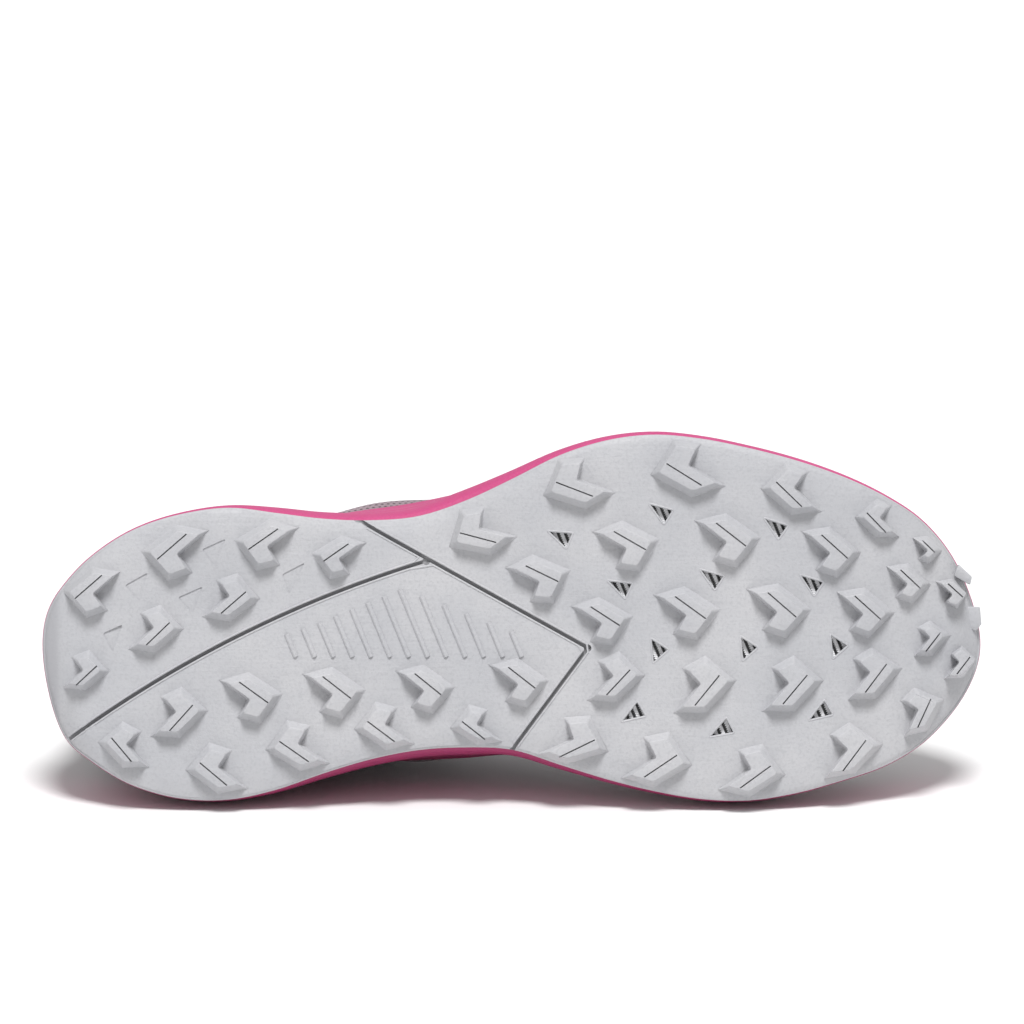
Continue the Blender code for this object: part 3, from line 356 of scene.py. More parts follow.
# Lugs by the way that they point and the side of their long arm: apex along the sole and across it as
# shares of the length and the ball width, turn in degrees and size
TREAD = {
    ("heel", "outer"): [
        (0.020, -0.148, -3, 0.95),
        (0.106, -0.257, -3, 1.03),
        (0.205, -0.287, 3, 0.96),
        (0.287, -0.251, 3, 0.81),
    ],
    ("heel", "inner"): [
        (0.060, 0.265, 12, 0.83),
        (0.153, 0.342, 2, 0.94),
        (0.238, 0.287, -3, 0.95),
        (0.332, 0.230, -1, 0.90),
        (0.434, 0.227, 0, 0.78),
        (0.433, -0.270, -23, 1.00),
        (0.533, -0.410, -17, 1.05),
        (0.647, -0.467, -6, 1.10),
        (0.764, -0.429, 6, 0.95),
        (0.864, -0.350, 8, 0.74),
    ],
    ("toe", "outer"): [
        (0.256, 0.134, -2, 0.95),
        (0.344, 0.123, 0, 0.95),
        (0.439, 0.115, 1, 0.90),
        (0.539, 0.096, 0, 0.91),
        (0.562, -0.205, -12, 0.96),
        (0.656, -0.290, -8, 0.98),
        (0.764, -0.295, 0, 1.00),
        (0.872, -0.257, 4, 0.94),
        (0.960, -0.260, 6, 0.52),
        (0.947, -0.169, 5, 0.74),
        (0.989, -0.142, 4, 0.54),
        (0.628, -0.079, -5, 0.92),
        (0.721, -0.098, -2, 1.00),
        (0.818, -0.098, 3, 1.00),
        (0.907, -0.090, 4, 0.93),
    ],
    ("toe", "inner"): [
        (0.232, -0.128, -3, 0.88),
        (0.151, -0.046, -6, 0.86),
        (0.072, 0.071, -5, 0.76),
        (0.177, 0.178, -10, 0.92),
        (0.968, -0.027, -14, 0.66),
        (0.998, 0.041, -14, 0.58),
        (0.641, 0.082, -9, 0.92),
        (0.738, 0.096, -13, 1.03),
        (0.831, 0.096, -12, 1.01),
        (0.915, 0.063, -15, 0.95),
        (0.602, 0.292, 12, 1.05),
        (0.691, 0.328, 4, 1.05),
        (0.790, 0.355, 2, 1.00),
        (0.894, 0.273, -15, 1.02),
        (0.961, 0.150, -27, 0.84),
    ],
}

# Corners of one window from its middle, as shares of its size
WINDOW = {
    "long": ((-0.60, -0.41), (0.51, -0.12), (0.09, 0.54)),
    "short": ((-0.25, -0.54), (0.55, -0.03), (-0.15, 0.58)),
}

# Shape of each window, its middle along and across, turn in degrees and side that its low corner is on
WINDOWS = (
    ("long", 0.553, -0.295, -10, 1),
    ("long", 0.659, -0.363, 0, 1),
    ("long", 0.781, -0.322, 2, 1),
    ("long", 0.616, -0.158, -8, 1),
    ("long", 0.713, -0.183, 0, 1),
    ("long", 0.819, -0.167, 2, 1),
    ("short", 0.653, 0.014, 0, 1),
    ("short", 0.748, 0.008, 0, 1),
    ("short", 0.844, 0.003, 0, 1),
    ("long", 0.630, 0.186, 2, -1),
    ("long", 0.724, 0.230, 5, -1),
    ("long", 0.829, 0.183, 2, -1),
)

# Ends of the moulded channels along and across, and how far each one bows, as a share of the bulge
CHANNELS = (
    ((0.4097, -0.2320), (0.012, 0.290), 1.0),
    ((0.325, -0.358), (0.5815, 0.009), 0.0),
    ((0.5815, 0.003), (0.4930, 0.310), 0.0),
)

# Rings of the insole: share of the way out from the spine and share of its thickness
INSOLE_FINE = (
    *((out, 0.0) for out in (0.0, 0.3, 0.6, 0.985)),
    *((0.997, 0.04), (1.0, 0.15), (1.0, 0.7), (0.996, 0.9), (0.985, 0.985)),
    *((out, 1.0) for out in (0.96, 0.8, 0.6, 0.35, 0.15, 0.0)),
)

# Overlays of the upper: middle of the overlay on the loop as a share of the way from heel to toe, where
# it ends on each side, and how high it reaches at its middle and at its ends
TOE_CAP_END = 0.80
TOE_CAP_HEIGHT = 0.46
TOE_CAP_LOW = 0.20
COUNTER_END = 0.24
COUNTER_HEIGHT = 0.66
COUNTER_LOW = 0.24
OVERLAY_FOOT = 0.13
EYESTAY_START = 0.415
EYESTAY_FOOT = 0.80
EYESTAY_HEAD = 0.985
EYELET_LEVEL = 0.925
EYELET_FIRST = 0.66
EYELET_LAST = 0.435

# How far the wall faces out of the tread where it meets its edge
EDGE_FACING = 0.010

# Troughs along the side of the foam: level at the start, rise to the end, and start and end along the sole
GROOVES = ((0.36, 0.16, 0.04, 0.46), (0.52, -0.12, 0.40, 0.90))

# Creases of the upper: where each one is along the shoe and up the wall, its side, its lean, half width
# along, half height and depth; negative depth is a ridge
CREASES = [
    (0.640, 0.62, 1, 0.5, 0.016, 0.30, 0.0010),
    (0.665, 0.60, 1, 0.5, 0.010, 0.28, -0.0006),
    (0.695, 0.66, 1, 0.3, 0.014, 0.26, 0.0009),
    (0.640, 0.62, -1, 0.5, 0.016, 0.30, 0.0010),
    (0.672, 0.60, -1, 0.5, 0.011, 0.28, -0.0006),
    (0.702, 0.66, -1, 0.3, 0.014, 0.26, 0.0009),
    (0.245, 0.62, 1, -0.5, 0.020, 0.20, 0.0011),
    (0.290, 0.52, 1, -0.4, 0.018, 0.22, -0.0007),
    (0.240, 0.60, -1, -0.5, 0.020, 0.20, 0.0010),
    (0.285, 0.50, -1, -0.4, 0.018, 0.22, -0.0007),
]

# Where the cloth bulges over the foam at the waist: along, up, side, half width along, half height, height
BULGES = [
    (0.366, 0.27, -1, 0.085, 0.15, 0.0036),
    (0.405, 0.30, 1, 0.050, 0.16, 0.0034),
]


def ease(start, end, x):
    """Rises smoothly from 0 at start to 1 at end."""
    share = np.clip((np.asarray(x, dtype=float) - start) / (end - start), 0.0, 1.0)
    return share * share * (3.0 - 2.0 * share)


def station_angle(along):
    """Angle on the loop of a share of the way from heel to toe, on the inner side."""
    return np.arccos(1.0 - 2.0 * np.asarray(along, dtype=float))


def share_along(theta):
    return (1.0 - np.cos(theta)) / 2.0


def smooth_through(knots, values, place):
    """Smooth curve through values at knots."""
    slopes = np.gradient(values, knots)
    row = np.clip(np.searchsorted(knots, place, side="right") - 1, 0, len(knots) - 2)
    step = knots[row + 1] - knots[row]
    part = (place - knots[row]) / step
    rest = 1.0 - part
    start = rest * rest * (1.0 + 2.0 * part) * values[row] + rest * rest * part * step * slopes[row]
    end = part * part * (3.0 - 2.0 * part) * values[row + 1] - part * part * rest * step * slopes[row + 1]
    return start + end


def around(along, inner, outer, theta):
    """Smooth closed curve through the rows of a table: up the inner side and back down the outer side."""
    knots = station_angle(along)
    knots = np.concatenate([knots, 2.0 * math.pi - knots[-2:0:-1]])
    values = np.concatenate([inner, outer[-2:0:-1]])
    turn = 2.0 * math.pi
    knots = np.concatenate([knots - turn, knots, knots + turn])
    values = np.tile(values, 3)
    return smooth_through(knots, values, np.mod(theta, turn))


def stacked(*parts):
    return np.stack(np.broadcast_arrays(*parts), axis=-1)


def unit(ways):
    return ways / np.linalg.norm(ways, axis=-1, keepdims=True)


def tread_outline(theta):
    """Edge of the tread seen from below."""
    full = around(SOLE["along"], SOLE["medial"], SOLE["lateral"], theta)
    return stacked(SOLE_LENGTH * share_along(theta), BALL_WIDTH * full * np.sin(theta))


def outward(theta):
    """Unit vector that points out of the tread's edge."""
    tangent = tread_outline(theta + STEP) - tread_outline(theta - STEP)
    return unit(stacked(-tangent[..., 1], tangent[..., 0]))


def spine(theta):
    """Point of the middle line that a ring shrinks to."""
    along = np.clip(share_along(theta), SPINE_HEEL, SPINE_TOE)
    angle = station_angle(along)
    middle = (tread_outline(angle)[..., 1] + tread_outline(-angle)[..., 1]) / 2.0
    return stacked(along * SOLE_LENGTH, middle)


def ground(x):
    """Height of the tops of the lugs: heel bevel, arch and toe spring."""
    along = np.clip(np.asarray(x, dtype=float) / SOLE_LENGTH, 0.0, 1.0)
    bevel = np.clip((BEVEL_END - along) / BEVEL_END, 0.0, 1.0) ** 2
    arch = np.sin(math.pi * np.clip((along - ARCH_START) / (ARCH_END - ARCH_START), 0.0, 1.0)) ** 2
    spring = np.clip((along - SPRING_START) / (1.0 - SPRING_START), 0.0, 1.0) ** SPRING_CURVE
    return HEEL_BEVEL * bevel + ARCH_RISE * arch + TOE_SPRING * spring


def footbed(x):
    """Height of the top of the midsole."""
    along = np.clip(np.asarray(x, dtype=float) / SOLE_LENGTH, 0.0, 1.0)
    drop = (HEEL_STACK - BALL_STACK) * (1.0 - ease(*DROP_RANGE, along))
    lift = TOE_LIFT * np.clip((along - SPRING_START) / (1.0 - SPRING_START), 0.0, 1.0) ** SPRING_CURVE
    return BALL_STACK + drop + lift


def sheet_ring(theta, level, height):
    """Ring of the tread's sheet at a share of the way out from the spine, height above its underside."""
    inner = spine(theta)
    plan = inner + (tread_outline(theta) - inner) * level
    along = share_along(theta)
    rear = np.clip((BEVEL_END - along) / BEVEL_END, 0.0, 1.0)
    roll = EDGE_ROLL + TOE_ROLL * ease(*TOE_RANGE, along) + HEEL_BEVEL * ease(0.0, 1.0, rear)
    lift = roll * np.clip((level - ROLL_LEVEL) / (1.0 - ROLL_LEVEL), 0.0, 1.0) ** 2
    return stacked(plan[..., 0], plan[..., 1], ground(plan[..., 0]) + LUG_HEIGHT + lift + height)


def feather(theta):
    """Line where the upper meets the sole."""
    tuck = SOLE_TUCK * around(SOLE["along"], SOLE["tuck_medial"], SOLE["tuck_lateral"], theta)
    plan = tread_outline(theta) - outward(theta) * tuck[..., None]
    return stacked(plan[..., 0], plan[..., 1], footbed(plan[..., 0]) + GAP)


def upper_edge(theta):
    """Line of the collar and the throat."""
    along = UPPER["along"]
    x = SOLE_LENGTH * around(along, UPPER["edge_along"], UPPER["edge_along"], theta)
    throat = ease(*THROAT_RANGE, along)
    half = UPPER["half_gap"] * (throat * THROAT_WIDTH + (1.0 - throat) * ANKLE_WIDTH) / 2.0
    ridge = UPPER["ridge"] * BALL_WIDTH
    y = around(along, ridge + half, ridge - half, theta)
    height = UPPER["collar"] * COLLAR_HEIGHT + UPPER["instep"] * INSTEP_HEIGHT + UPPER["vamp"] * VAMP_HEIGHT
    z = around(along, height, height - UPPER["dip"] * COLLAR_HEIGHT, theta)
    return stacked(x, y, z)


def upper_curve(theta, level):
    """Outer face of the upper: a cubic curve from the feather line to the edge for each angle."""
    foot = feather(theta)
    edge = upper_edge(theta)
    out = outward(theta)
    flat = np.zeros_like(out[..., :1])
    out = np.concatenate([out, flat], axis=-1)
    span = unit((foot - edge) * (1.0, 1.0, 0.0) + out * EDGE_FACING)
    sizes = {"rise": COLLAR_HEIGHT, "belly": BALL_WIDTH, "lean": BALL_WIDTH, "drop": COLLAR_HEIGHT}
    shape = {}
    for name, size in sizes.items():
        shape[name] = size * around(UPPER["along"], UPPER[name], UPPER[name], theta)[..., None]
    up = np.array((0.0, 0.0, 1.0))
    low = foot + out * shape["belly"] + up * shape["rise"]
    high = edge + span * shape["lean"] - up * shape["drop"]
    level = np.asarray(level, dtype=float)[..., None]
    rest = 1.0 - level
    return rest**3 * foot + 3.0 * rest**2 * level * low + 3.0 * rest * level**2 * high + level**3 * edge


def upper_point(theta, level, offset=0.0):
    """Point at a distance outside the outer face of the upper."""
    theta, level, offset = np.broadcast_arrays(theta, level, offset)
    around_step = upper_curve(theta + STEP, level) - upper_curve(theta - STEP, level)
    above = upper_curve(theta, np.minimum(level + STEP, 1.0))
    below = upper_curve(theta, np.maximum(level - STEP, 0.0))
    normal = unit(np.cross(above - below, around_step))
    return upper_curve(theta, level) + normal * offset[..., None]


def wall(theta, level):
    """Thickness of the upper, with the padding of the collar."""
    padded = 1.0 - ease(*PAD_RANGE, share_along(theta))
    return WALL + COLLAR_PAD * padded * ease(*PAD_LEVELS, level)


def inset(corners, distances):
    """Corners of an outline whose sides each moved in by their own distance."""
    following = corners[1:] + corners[:1]
    area = sum(a.x * b.y - a.y * b.x for a, b in zip(corners, following))
    inward = math.copysign(1.0, area)
    lines = []
    for start, end, distance in zip(corners, following, distances):
        run = (end - start).normalized()
        lines.append((start + Vector((-run.y, run.x)) * inward * distance, run))
    moved = []
    for (point, run), (other, way) in zip([lines[-1]] + lines[:-1], lines):
        gap = other - point
        cross = run.x * way.y - run.y * way.x
        moved.append(point + run * ((gap.x * way.y - gap.y * way.x) / cross))
    return moved


def placed(shape, along, across, turn, size, flip_x, flip_y):
    """Corners of a small outline on the tread."""
    spin = Matrix.Rotation(math.radians(turn), 2)
    middle = on_tread(along, across)
    return [middle + spin @ Vector((x * flip_x, y * flip_y)) * size for x, y in shape]


def on_tread(along, across):
    """Point of the tread's plan at shares of its length and the ball width."""
    return Vector((along * SOLE_LENGTH, across * BALL_WIDTH))


def kept_inside(corner, margin):
    """Point moved along the line to the spine until it lies a margin inside the tread's edge."""
    along = min(max(corner.x / SOLE_LENGTH, 1e-4), 1.0 - 1e-4)
    angle = float(station_angle(along))
    angles = np.linspace(0.0, 2.0 * math.pi, EDGE_TRIES)
    edge = tread_outline(angles)
    centre = Vector(spine(angle if corner.y > 0.0 else -angle))
    ray = corner - centre
    reach = edge - np.array(centre)
    heading = math.atan2(ray.y, ray.x)
    headings = np.arctan2(reach[:, 1], reach[:, 0])
    turned = np.abs(np.mod(headings - heading + math.pi, 2.0 * math.pi) - math.pi)
    limit = float(np.linalg.norm(reach[int(np.argmin(turned))])) - margin
    if ray.length > limit:
        return centre + ray.normalized() * limit
    return corner


def eyelet_angles():
    """Angles of the eyelets on the inner side, from the front of the throat up."""
    return station_angle(np.linspace(EYELET_FIRST, EYELET_LAST, EYELET_PAIRS))


def standing_to_lying():
    """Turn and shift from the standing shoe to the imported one, read from the record's heel mount."""
    mount = next(m for m in frame["record"]["mounts"] if m["name"] == "heel_ground")
    up = -Vector(mount["axis"]).normalized()
    along = Vector((1.0, 0.0, 0.0))
    along = (along - up * along.dot(up)).normalized()
    across = up.cross(along)
    turn = Matrix((along, across, up)).transposed()
    shift = Vector(mount["pos_m"]) - turn @ Vector(HEEL_MOUNT)
    return Matrix.Translation(shift) @ turn.to_4x4()


LAY = standing_to_lying()


def nothing_selected():
    """Object mode with nothing selected."""
    if bpy.context.object and bpy.context.object.mode != "OBJECT":
        bpy.ops.object.mode_set(mode="OBJECT")
    bpy.ops.object.select_all(action="DESELECT")


def linked(name, data):
    """A new object of the scene around its data."""
    thing = bpy.data.objects.new(name, data)
    bpy.context.scene.collection.objects.link(thing)
    return thing


def alone(piece):
    nothing_selected()
    piece.select_set(True)
    bpy.context.view_layer.objects.active = piece


def edit(piece):
    """Edit mode on one piece with nothing selected in it."""
    alone(piece)
    bpy.ops.object.mode_set(mode="EDIT")
    bpy.ops.mesh.select_all(action="DESELECT")
    return bmesh.from_edit_mesh(piece.data)


def edit_all(piece):
    """Edit mode on one piece with all of it selected."""
    edit(piece)
    bpy.ops.mesh.select_all(action="SELECT")


def merged(piece, distance=1e-6):
    """Doubles joined and faces turned outwards."""
    edit_all(piece)
    bpy.ops.mesh.remove_doubles(threshold=distance)
    bpy.ops.mesh.normals_make_consistent(inside=False)
    bpy.ops.object.mode_set(mode="OBJECT")
    return piece


def finished(piece, kind, **settings):
    """A modifier added and applied."""
    alone(piece)
    step = piece.modifiers.new(kind.title(), kind)
    for name, value in settings.items():
        setattr(step, name, value)
    bpy.ops.object.modifier_apply(modifier=step.name)
    return piece


def smooth(piece, degrees=35.0):
    alone(piece)
    bpy.ops.object.shade_smooth_by_angle(angle=math.radians(degrees))
    return piece


def joined(name, pieces):
    """Several pieces as one."""
    nothing_selected()
    for piece in pieces:
        piece.select_set(True)
    bpy.context.view_layer.objects.active = pieces[0]
    if len(pieces) > 1:
        bpy.ops.object.join()
    pieces[0].name = pieces[0].data.name = name
    return pieces[0]


def cut(piece, cutter):
    """Another piece cut away from this one and used up."""
    finished(piece, "BOOLEAN", operation="DIFFERENCE", object=cutter, solver="EXACT")
    bpy.data.objects.remove(cutter, do_unlink=True)
    return piece


def wrapped(name, points, loop=False, tube=False):
    """A grid pulled onto rows of points, with a UV map in metres. In a loop the last column meets the
    first, in a tube the last row meets the first."""
    points = np.array(points, dtype=float)
    if loop:
        points = np.concatenate([points, points[:, :1]], axis=1)
    if tube:
        points = np.concatenate([points, points[:1]], axis=0)
    rows, columns = points.shape[:2]
    nothing_selected()
    bpy.ops.mesh.primitive_grid_add(x_subdivisions=columns - 1, y_subdivisions=rows - 1, size=1.0)
    piece = bpy.context.object
    piece.name = piece.data.name = name
    piece.data.vertices.foreach_set("co", points.reshape(-1))
    across = np.linalg.norm(np.diff(points, axis=1), axis=2).mean(axis=0)
    up = np.linalg.norm(np.diff(points, axis=0), axis=2)
    u = np.broadcast_to(np.concatenate([[0.0], np.cumsum(across)]), (rows, columns))
    v = np.concatenate([np.zeros((1, columns)), np.cumsum(up, axis=0)])
    place = np.stack([u, v], axis=-1).reshape(-1, 2)
    corners = np.zeros(len(piece.data.loops), dtype=int)
    piece.data.loops.foreach_get("vertex_index", corners)
    piece.data.uv_layers[0].data.foreach_set("uv", place[corners].reshape(-1))
    piece.data.update()
    return piece


def capped(piece):
    """Open rims filled with faces."""
    made = edit(piece)
    for edge in made.edges:
        edge.select = edge.is_boundary
    bpy.ops.mesh.fill(use_beauty=True)
    bpy.ops.object.mode_set(mode="OBJECT")
    return merged(piece)


def laid(piece, finish, replaces=()):
    """A finished piece turned into the frame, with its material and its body."""
    piece.data.transform(LAY @ piece.matrix_world)
    piece.matrix_world = Matrix.Identity(4)
    piece.data.materials.clear()
    for one in finish if isinstance(finish, list) else [finish]:
        piece.data.materials.append(one)
    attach(piece, "root")
    if replaces:
        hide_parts(*replaces)
    return piece


def fine_angles():
    return np.arange(FINE) * 2.0 * math.pi / FINE


def prism(name, corners, low, high, radius=0.0):
    """A polygon with rounded corners, extruded from one height to another."""
    nothing_selected()
    bpy.ops.mesh.primitive_circle_add(vertices=len(corners), fill_type="NGON")
    piece = bpy.context.object
    piece.name = name
    for vertex, corner in zip(piece.data.vertices, corners):
        vertex.co = (corner[0], corner[1], low)
    edit_all(piece)
    if radius:
        bpy.ops.mesh.bevel(offset=radius, segments=4, affect="VERTICES")
        bpy.ops.mesh.select_all(action="SELECT")
    bpy.ops.mesh.extrude_region_move(TRANSFORM_OT_translate={"value": (0.0, 0.0, high - low)})
    bpy.ops.object.mode_set(mode="OBJECT")
    return merged(piece)


def tube_along(name, points, radius, closed=False, sides=4):
    """A round bead or a round cutter along a line of points."""
    line = bpy.data.curves.new(name, "CURVE")
    line.dimensions = "3D"
    run = line.splines.new("POLY")
    run.points.add(len(points) - 1)
    for spot, point in zip(run.points, points):
        spot.co = (*point, 1.0)
    run.use_cyclic_u = closed
    line.bevel_depth = radius
    line.bevel_resolution = sides
    line.use_fill_caps = not closed
    alone(linked(name, line))
    bpy.ops.object.convert(target="MESH")
    return merged(bpy.context.object)


class Underside:
    """Height of the underside of the tread's sheet at any point of its plan."""

    def __init__(self, sheet):
        corners = [vertex.co for vertex in sheet.data.vertices]
        faces = [tuple(face.vertices) for face in sheet.data.polygons]
        self.tree = BVHTree.FromPolygons(corners, faces)

    def height(self, x, y):
        hit = self.tree.ray_cast(Vector((x, y, -1.0)), Vector((0.0, 0.0, 1.0)))[0]
        if hit is None:
            hit = self.tree.find_nearest(Vector((x, y, float(ground(x)) + LUG_HEIGHT)))[0]
        return hit.z

    def lifted(self, x, y, rise):
        return Vector((x, y, self.height(x, y) + rise))


def tread_sheet():
    """Rubber sheet of the sole with its edge rolled up and rounded."""
    theta = fine_angles()
    out = np.concatenate([outward(theta), np.zeros((FINE, 1))], axis=1)
    rings = [sheet_ring(theta, level, 0.0) for level in TREAD_LEVELS]
    for turn in np.linspace(0.0, math.pi / 2.0, 5):
        edge = sheet_ring(theta, 1.0, SHEET_ROUND * (1.0 - math.cos(turn)))
        rings.append(edge - out * SHEET_ROUND * (1.0 - math.sin(turn)))
    rings.append(sheet_ring(theta, 1.0, RUBBER))
    rings += [sheet_ring(theta, level, RUBBER) for level in reversed(TREAD_LEVELS)]
    return merged(wrapped("tread_sheet", rings, loop=True))


def lug(underside, corners, tops, index):
    """One lug: flat top, sloped sides and a foot that flares into the sheet."""
    middle = sum(tops, Vector((0.0, 0.0))) / len(tops)
    slope = float(ground(middle.x + STEP) - ground(middle.x - STEP)) / (2.0 * STEP)
    height = float(ground(middle.x))
    top_loop = [Vector((top.x, top.y, height + slope * (top.x - middle.x))) for top in tops]
    root_loop = [underside.lifted(c.x, c.y, 0.0) for c in corners]
    waist_loop = [top + (root - top) * LUG_WAIST for top, root in zip(top_loop, root_loop)]
    flared = inset(corners, [-LUG_FLARE] * len(corners))
    foot_loop = [underside.lifted(f.x, f.y, LUG_SINK) for f in flared]
    nothing_selected()
    bpy.ops.mesh.primitive_circle_add(vertices=len(corners), fill_type="NGON")
    piece = bpy.context.object
    piece.name = f"lug_{index}"
    for vertex, point in zip(piece.data.vertices, top_loop):
        vertex.co = point
    for loop in (waist_loop, foot_loop):
        edit(piece)
        bpy.ops.mesh.select_mode(type="EDGE")
        made = bmesh.from_edit_mesh(piece.data)
        last = len(made.verts) - len(corners)
        for edge in made.edges:
            edge.select = all(vertex.index >= last for vertex in edge.verts)
        bpy.ops.mesh.extrude_edges_move()
        bpy.ops.object.mode_set(mode="OBJECT")
        for vertex, point in zip(list(piece.data.vertices)[-len(corners):], order_like(piece, corners, loop)):
            vertex.co = point
    return piece


def order_like(piece, corners, loop):
    """Points of a loop in the order of a piece's last vertices."""
    count = len(corners)
    total = len(piece.data.vertices)
    partner = {}
    for edge in piece.data.edges:
        a, b = sorted(edge.vertices)
        if a < total - count <= b:
            partner[b] = a
    before = total - 2 * count
    ordered = []
    for b in range(total - count, total):
        ordered.append(loop[(partner[b] - before) % count])
    return ordered


def lugs(underside):
    """All lugs as one mesh, with soft corners and rims, and one sipe cut in each."""
    made = []
    blades = []
    for (way, long_side), rows in TREAD.items():
        flip_x = 1.0 if way == "toe" else -1.0
        flip_y = 1.0 if long_side == "outer" else -1.0
        for along, across, turn, size in rows:
            shape = [(x, y) for _, x, y, _ in LUG]
            scale = size * LUG_LENGTH
            corners = placed(shape, along, across, turn, scale, flip_x, flip_y)
            reach = LUG_ROOT if along < TOE_LUGS else -TOE_OVERHANG
            free = [kept_inside(corner, reach) for corner in corners]
            slope = LUG_SLOPE if along < TOE_EDGE else TOE_SLOPE
            tops = inset(free, [draft * slope for _, _, _, draft in LUG])
            corners = [kept_inside(corner, LUG_ROOT) for corner in corners]
            made.append(lug(underside, corners, tops, len(made)))
            blades.append(sipe_blade(placed(SIPE, along, across, turn, scale, flip_x, flip_y)))
    tread = joined("lugs", made)
    edit(tread)
    bpy.ops.mesh.select_mode(type="EDGE")
    made = bmesh.from_edit_mesh(tread.data)
    for edge in made.edges:
        rise = abs(edge.verts[0].co.z - edge.verts[1].co.z)
        edge.select = not edge.is_boundary and rise > LUG_HEIGHT * LUG_STEEP
    bmesh.update_edit_mesh(tread.data)
    bpy.ops.mesh.bevel(offset=LUG_CORNER, segments=3, clamp_overlap=True)
    bpy.ops.mesh.select_all(action="DESELECT")
    made = bmesh.from_edit_mesh(tread.data)
    made.normal_update()
    tops = [face for face in made.faces if len(face.verts) > 6]
    for face in tops:
        for edge in face.edges:
            edge.select = True
    bmesh.update_edit_mesh(tread.data)
    bpy.ops.mesh.bevel(offset=LUG_RIM, segments=3, clamp_overlap=True)
    bpy.ops.object.mode_set(mode="OBJECT")
    capped(tread)
    return cut(tread, joined("sipe_blades", blades))


def bumpers(underside):
    """Low blocks that stand proud of the toe's edge."""
    made = []
    for corners in BUMPERS:
        spots = [on_tread(*corner) for corner in corners]
        middle = sum(spots, Vector((0.0, 0.0))) / len(spots)
        height = underside.height(middle.x, middle.y)
        block = prism("bumper", spots, height - BUMPER_DROP, height + BUMPER_RISE)
        made.append(softened(block, BUMPER_RIM))
    return made


def sipe_blade(ends):
    start, end = ends
    run = (end - start).normalized()
    side = Vector((-run.y, run.x)) * (SIPE_WIDTH / 2.0)
    corners = [start - side, end - side, end + side, start + side]
    top = float(ground((start.x + end.x) / 2.0))
    return prism("sipe_blade", corners, top - LUG_HEIGHT, top + SIPE_DEPTH)


def channel_line(underside, start, end, bulge, rise=0.0):
    """Bowed line of one channel on the underside, or at a rise above it."""
    start = on_tread(*start)
    run = on_tread(*end) - start
    side = Vector((-run.y, run.x)).normalized()
    points = []
    for share in np.linspace(0.0, 1.0, CHANNEL_STEPS * 4 + 1):
        spot = start + run * share + side * (4.0 * share * (1.0 - share) * bulge * CHANNEL_BULGE)
        points.append(underside.lifted(spot.x, spot.y, rise))
    return points


def channels(underside):
    """Cutters of the channels: each groove, and a round pocket where two of them meet."""
    made = []
    for start, end, bulge in CHANNELS:
        groove = channel_line(underside, start, end, bulge, CHANNEL_SINK)
        made.append(tube_along("channel", groove, CHANNEL_CUT))
    for along, across in CHANNEL_MEETINGS:
        nothing_selected()
        bpy.ops.mesh.primitive_cylinder_add(vertices=MEETING_SIDES, radius=MEETING, depth=2.0 * MEETING_DEPTH)
        pocket = bpy.context.object
        pocket.data.transform(Matrix.Translation(underside.lifted(*on_tread(along, across), 0.0)))
        made.append(pocket)
    return made


def channel_lips(underside):
    """Thin raised lips on both sides of the channels."""
    made = []
    for runs in LIPS:
        points = []
        for which, side, first, last in runs:
            start, end, bulge = CHANNELS[which]
            line = channel_line(underside, start, end, bulge)
            for share in np.linspace(first, last, CHANNEL_STEPS * 2):
                at = share * (len(line) - 1)
                low = min(int(at), len(line) - 2)
                way = (line[low + 1] - line[low]).to_2d().normalized()
                spot = line[low].to_2d() + (line[low + 1] - line[low]).to_2d() * (at - low)
                spot = spot + Vector((-way.y, way.x)) * side * LIP_OFF
                points.append(underside.lifted(spot.x, spot.y, LIP_RISE))
        made.append(tube_along("lip", points, LIP, sides=2))
    return made


def tread_cutters(underside):
    """Windows and the shallow triangles of the heel."""
    made = []
    for window in WINDOWS:
        corners = window_corners(*window)
        height = underside.height(*corners[0])
        reach = RUBBER + LUG_HEIGHT
        made.append(prism("window", corners, height - reach, height + reach, WINDOW_CORNER))
    for corners in HEEL_TRIANGLES:
        spots = [on_tread(*corner) for corner in corners]
        height = underside.height(*spots[0])
        made.append(prism("pocket", spots, height - LUG_HEIGHT, height + POCKET_DEPTH, WINDOW_CORNER))
    return joined("tread_cutters", made)


def window_corners(shape, along, across, turn, flip):
    return placed(WINDOW[shape], along, across, turn, WINDOW_SIZE * WINDOW_OPEN, 1.0, flip)


def window_rims(underside):
    """A thin raised bead around each window."""
    beads = []
    for window in WINDOWS:
        corners = window_corners(*window)
        line = []
        for corner, before, after in zip(corners, corners[-1:] + corners[:-1], corners[1:] + corners[:1]):
            back = (before - corner).normalized() * WINDOW_CORNER
            ahead = (after - corner).normalized() * WINDOW_CORNER
            for share in (0.0, 0.25, 0.5, 0.75, 1.0):
                line.append(corner + back * (1.0 - share) ** 2 + ahead * share**2)
        points = [underside.lifted(spot.x, spot.y, BEAD / 4.0) for spot in line]
        beads.append(tube_along("rim", points, BEAD / 2.0, closed=True, sides=2))
    return beads


def panel_ribs(underside):
    """Plain parallel ribs on the middle of the sole."""
    ribs = []
    for i, low in enumerate(RIB_STARTS):
        points = []
        for share in np.linspace(0.0, 1.0, RIB_STEPS):
            x = (RIB_FIRST + i * RIB_PITCH + RIB_SLANT * (RIB_END - low) * (share - 1.0)) * SOLE_LENGTH
            y = (low + (RIB_END - low) * share) * BALL_WIDTH
            points.append(underside.lifted(x, y, RIB / 8.0))
        ribs.append(tube_along("rib", points, RIB / 2.0, sides=3))
    return ribs


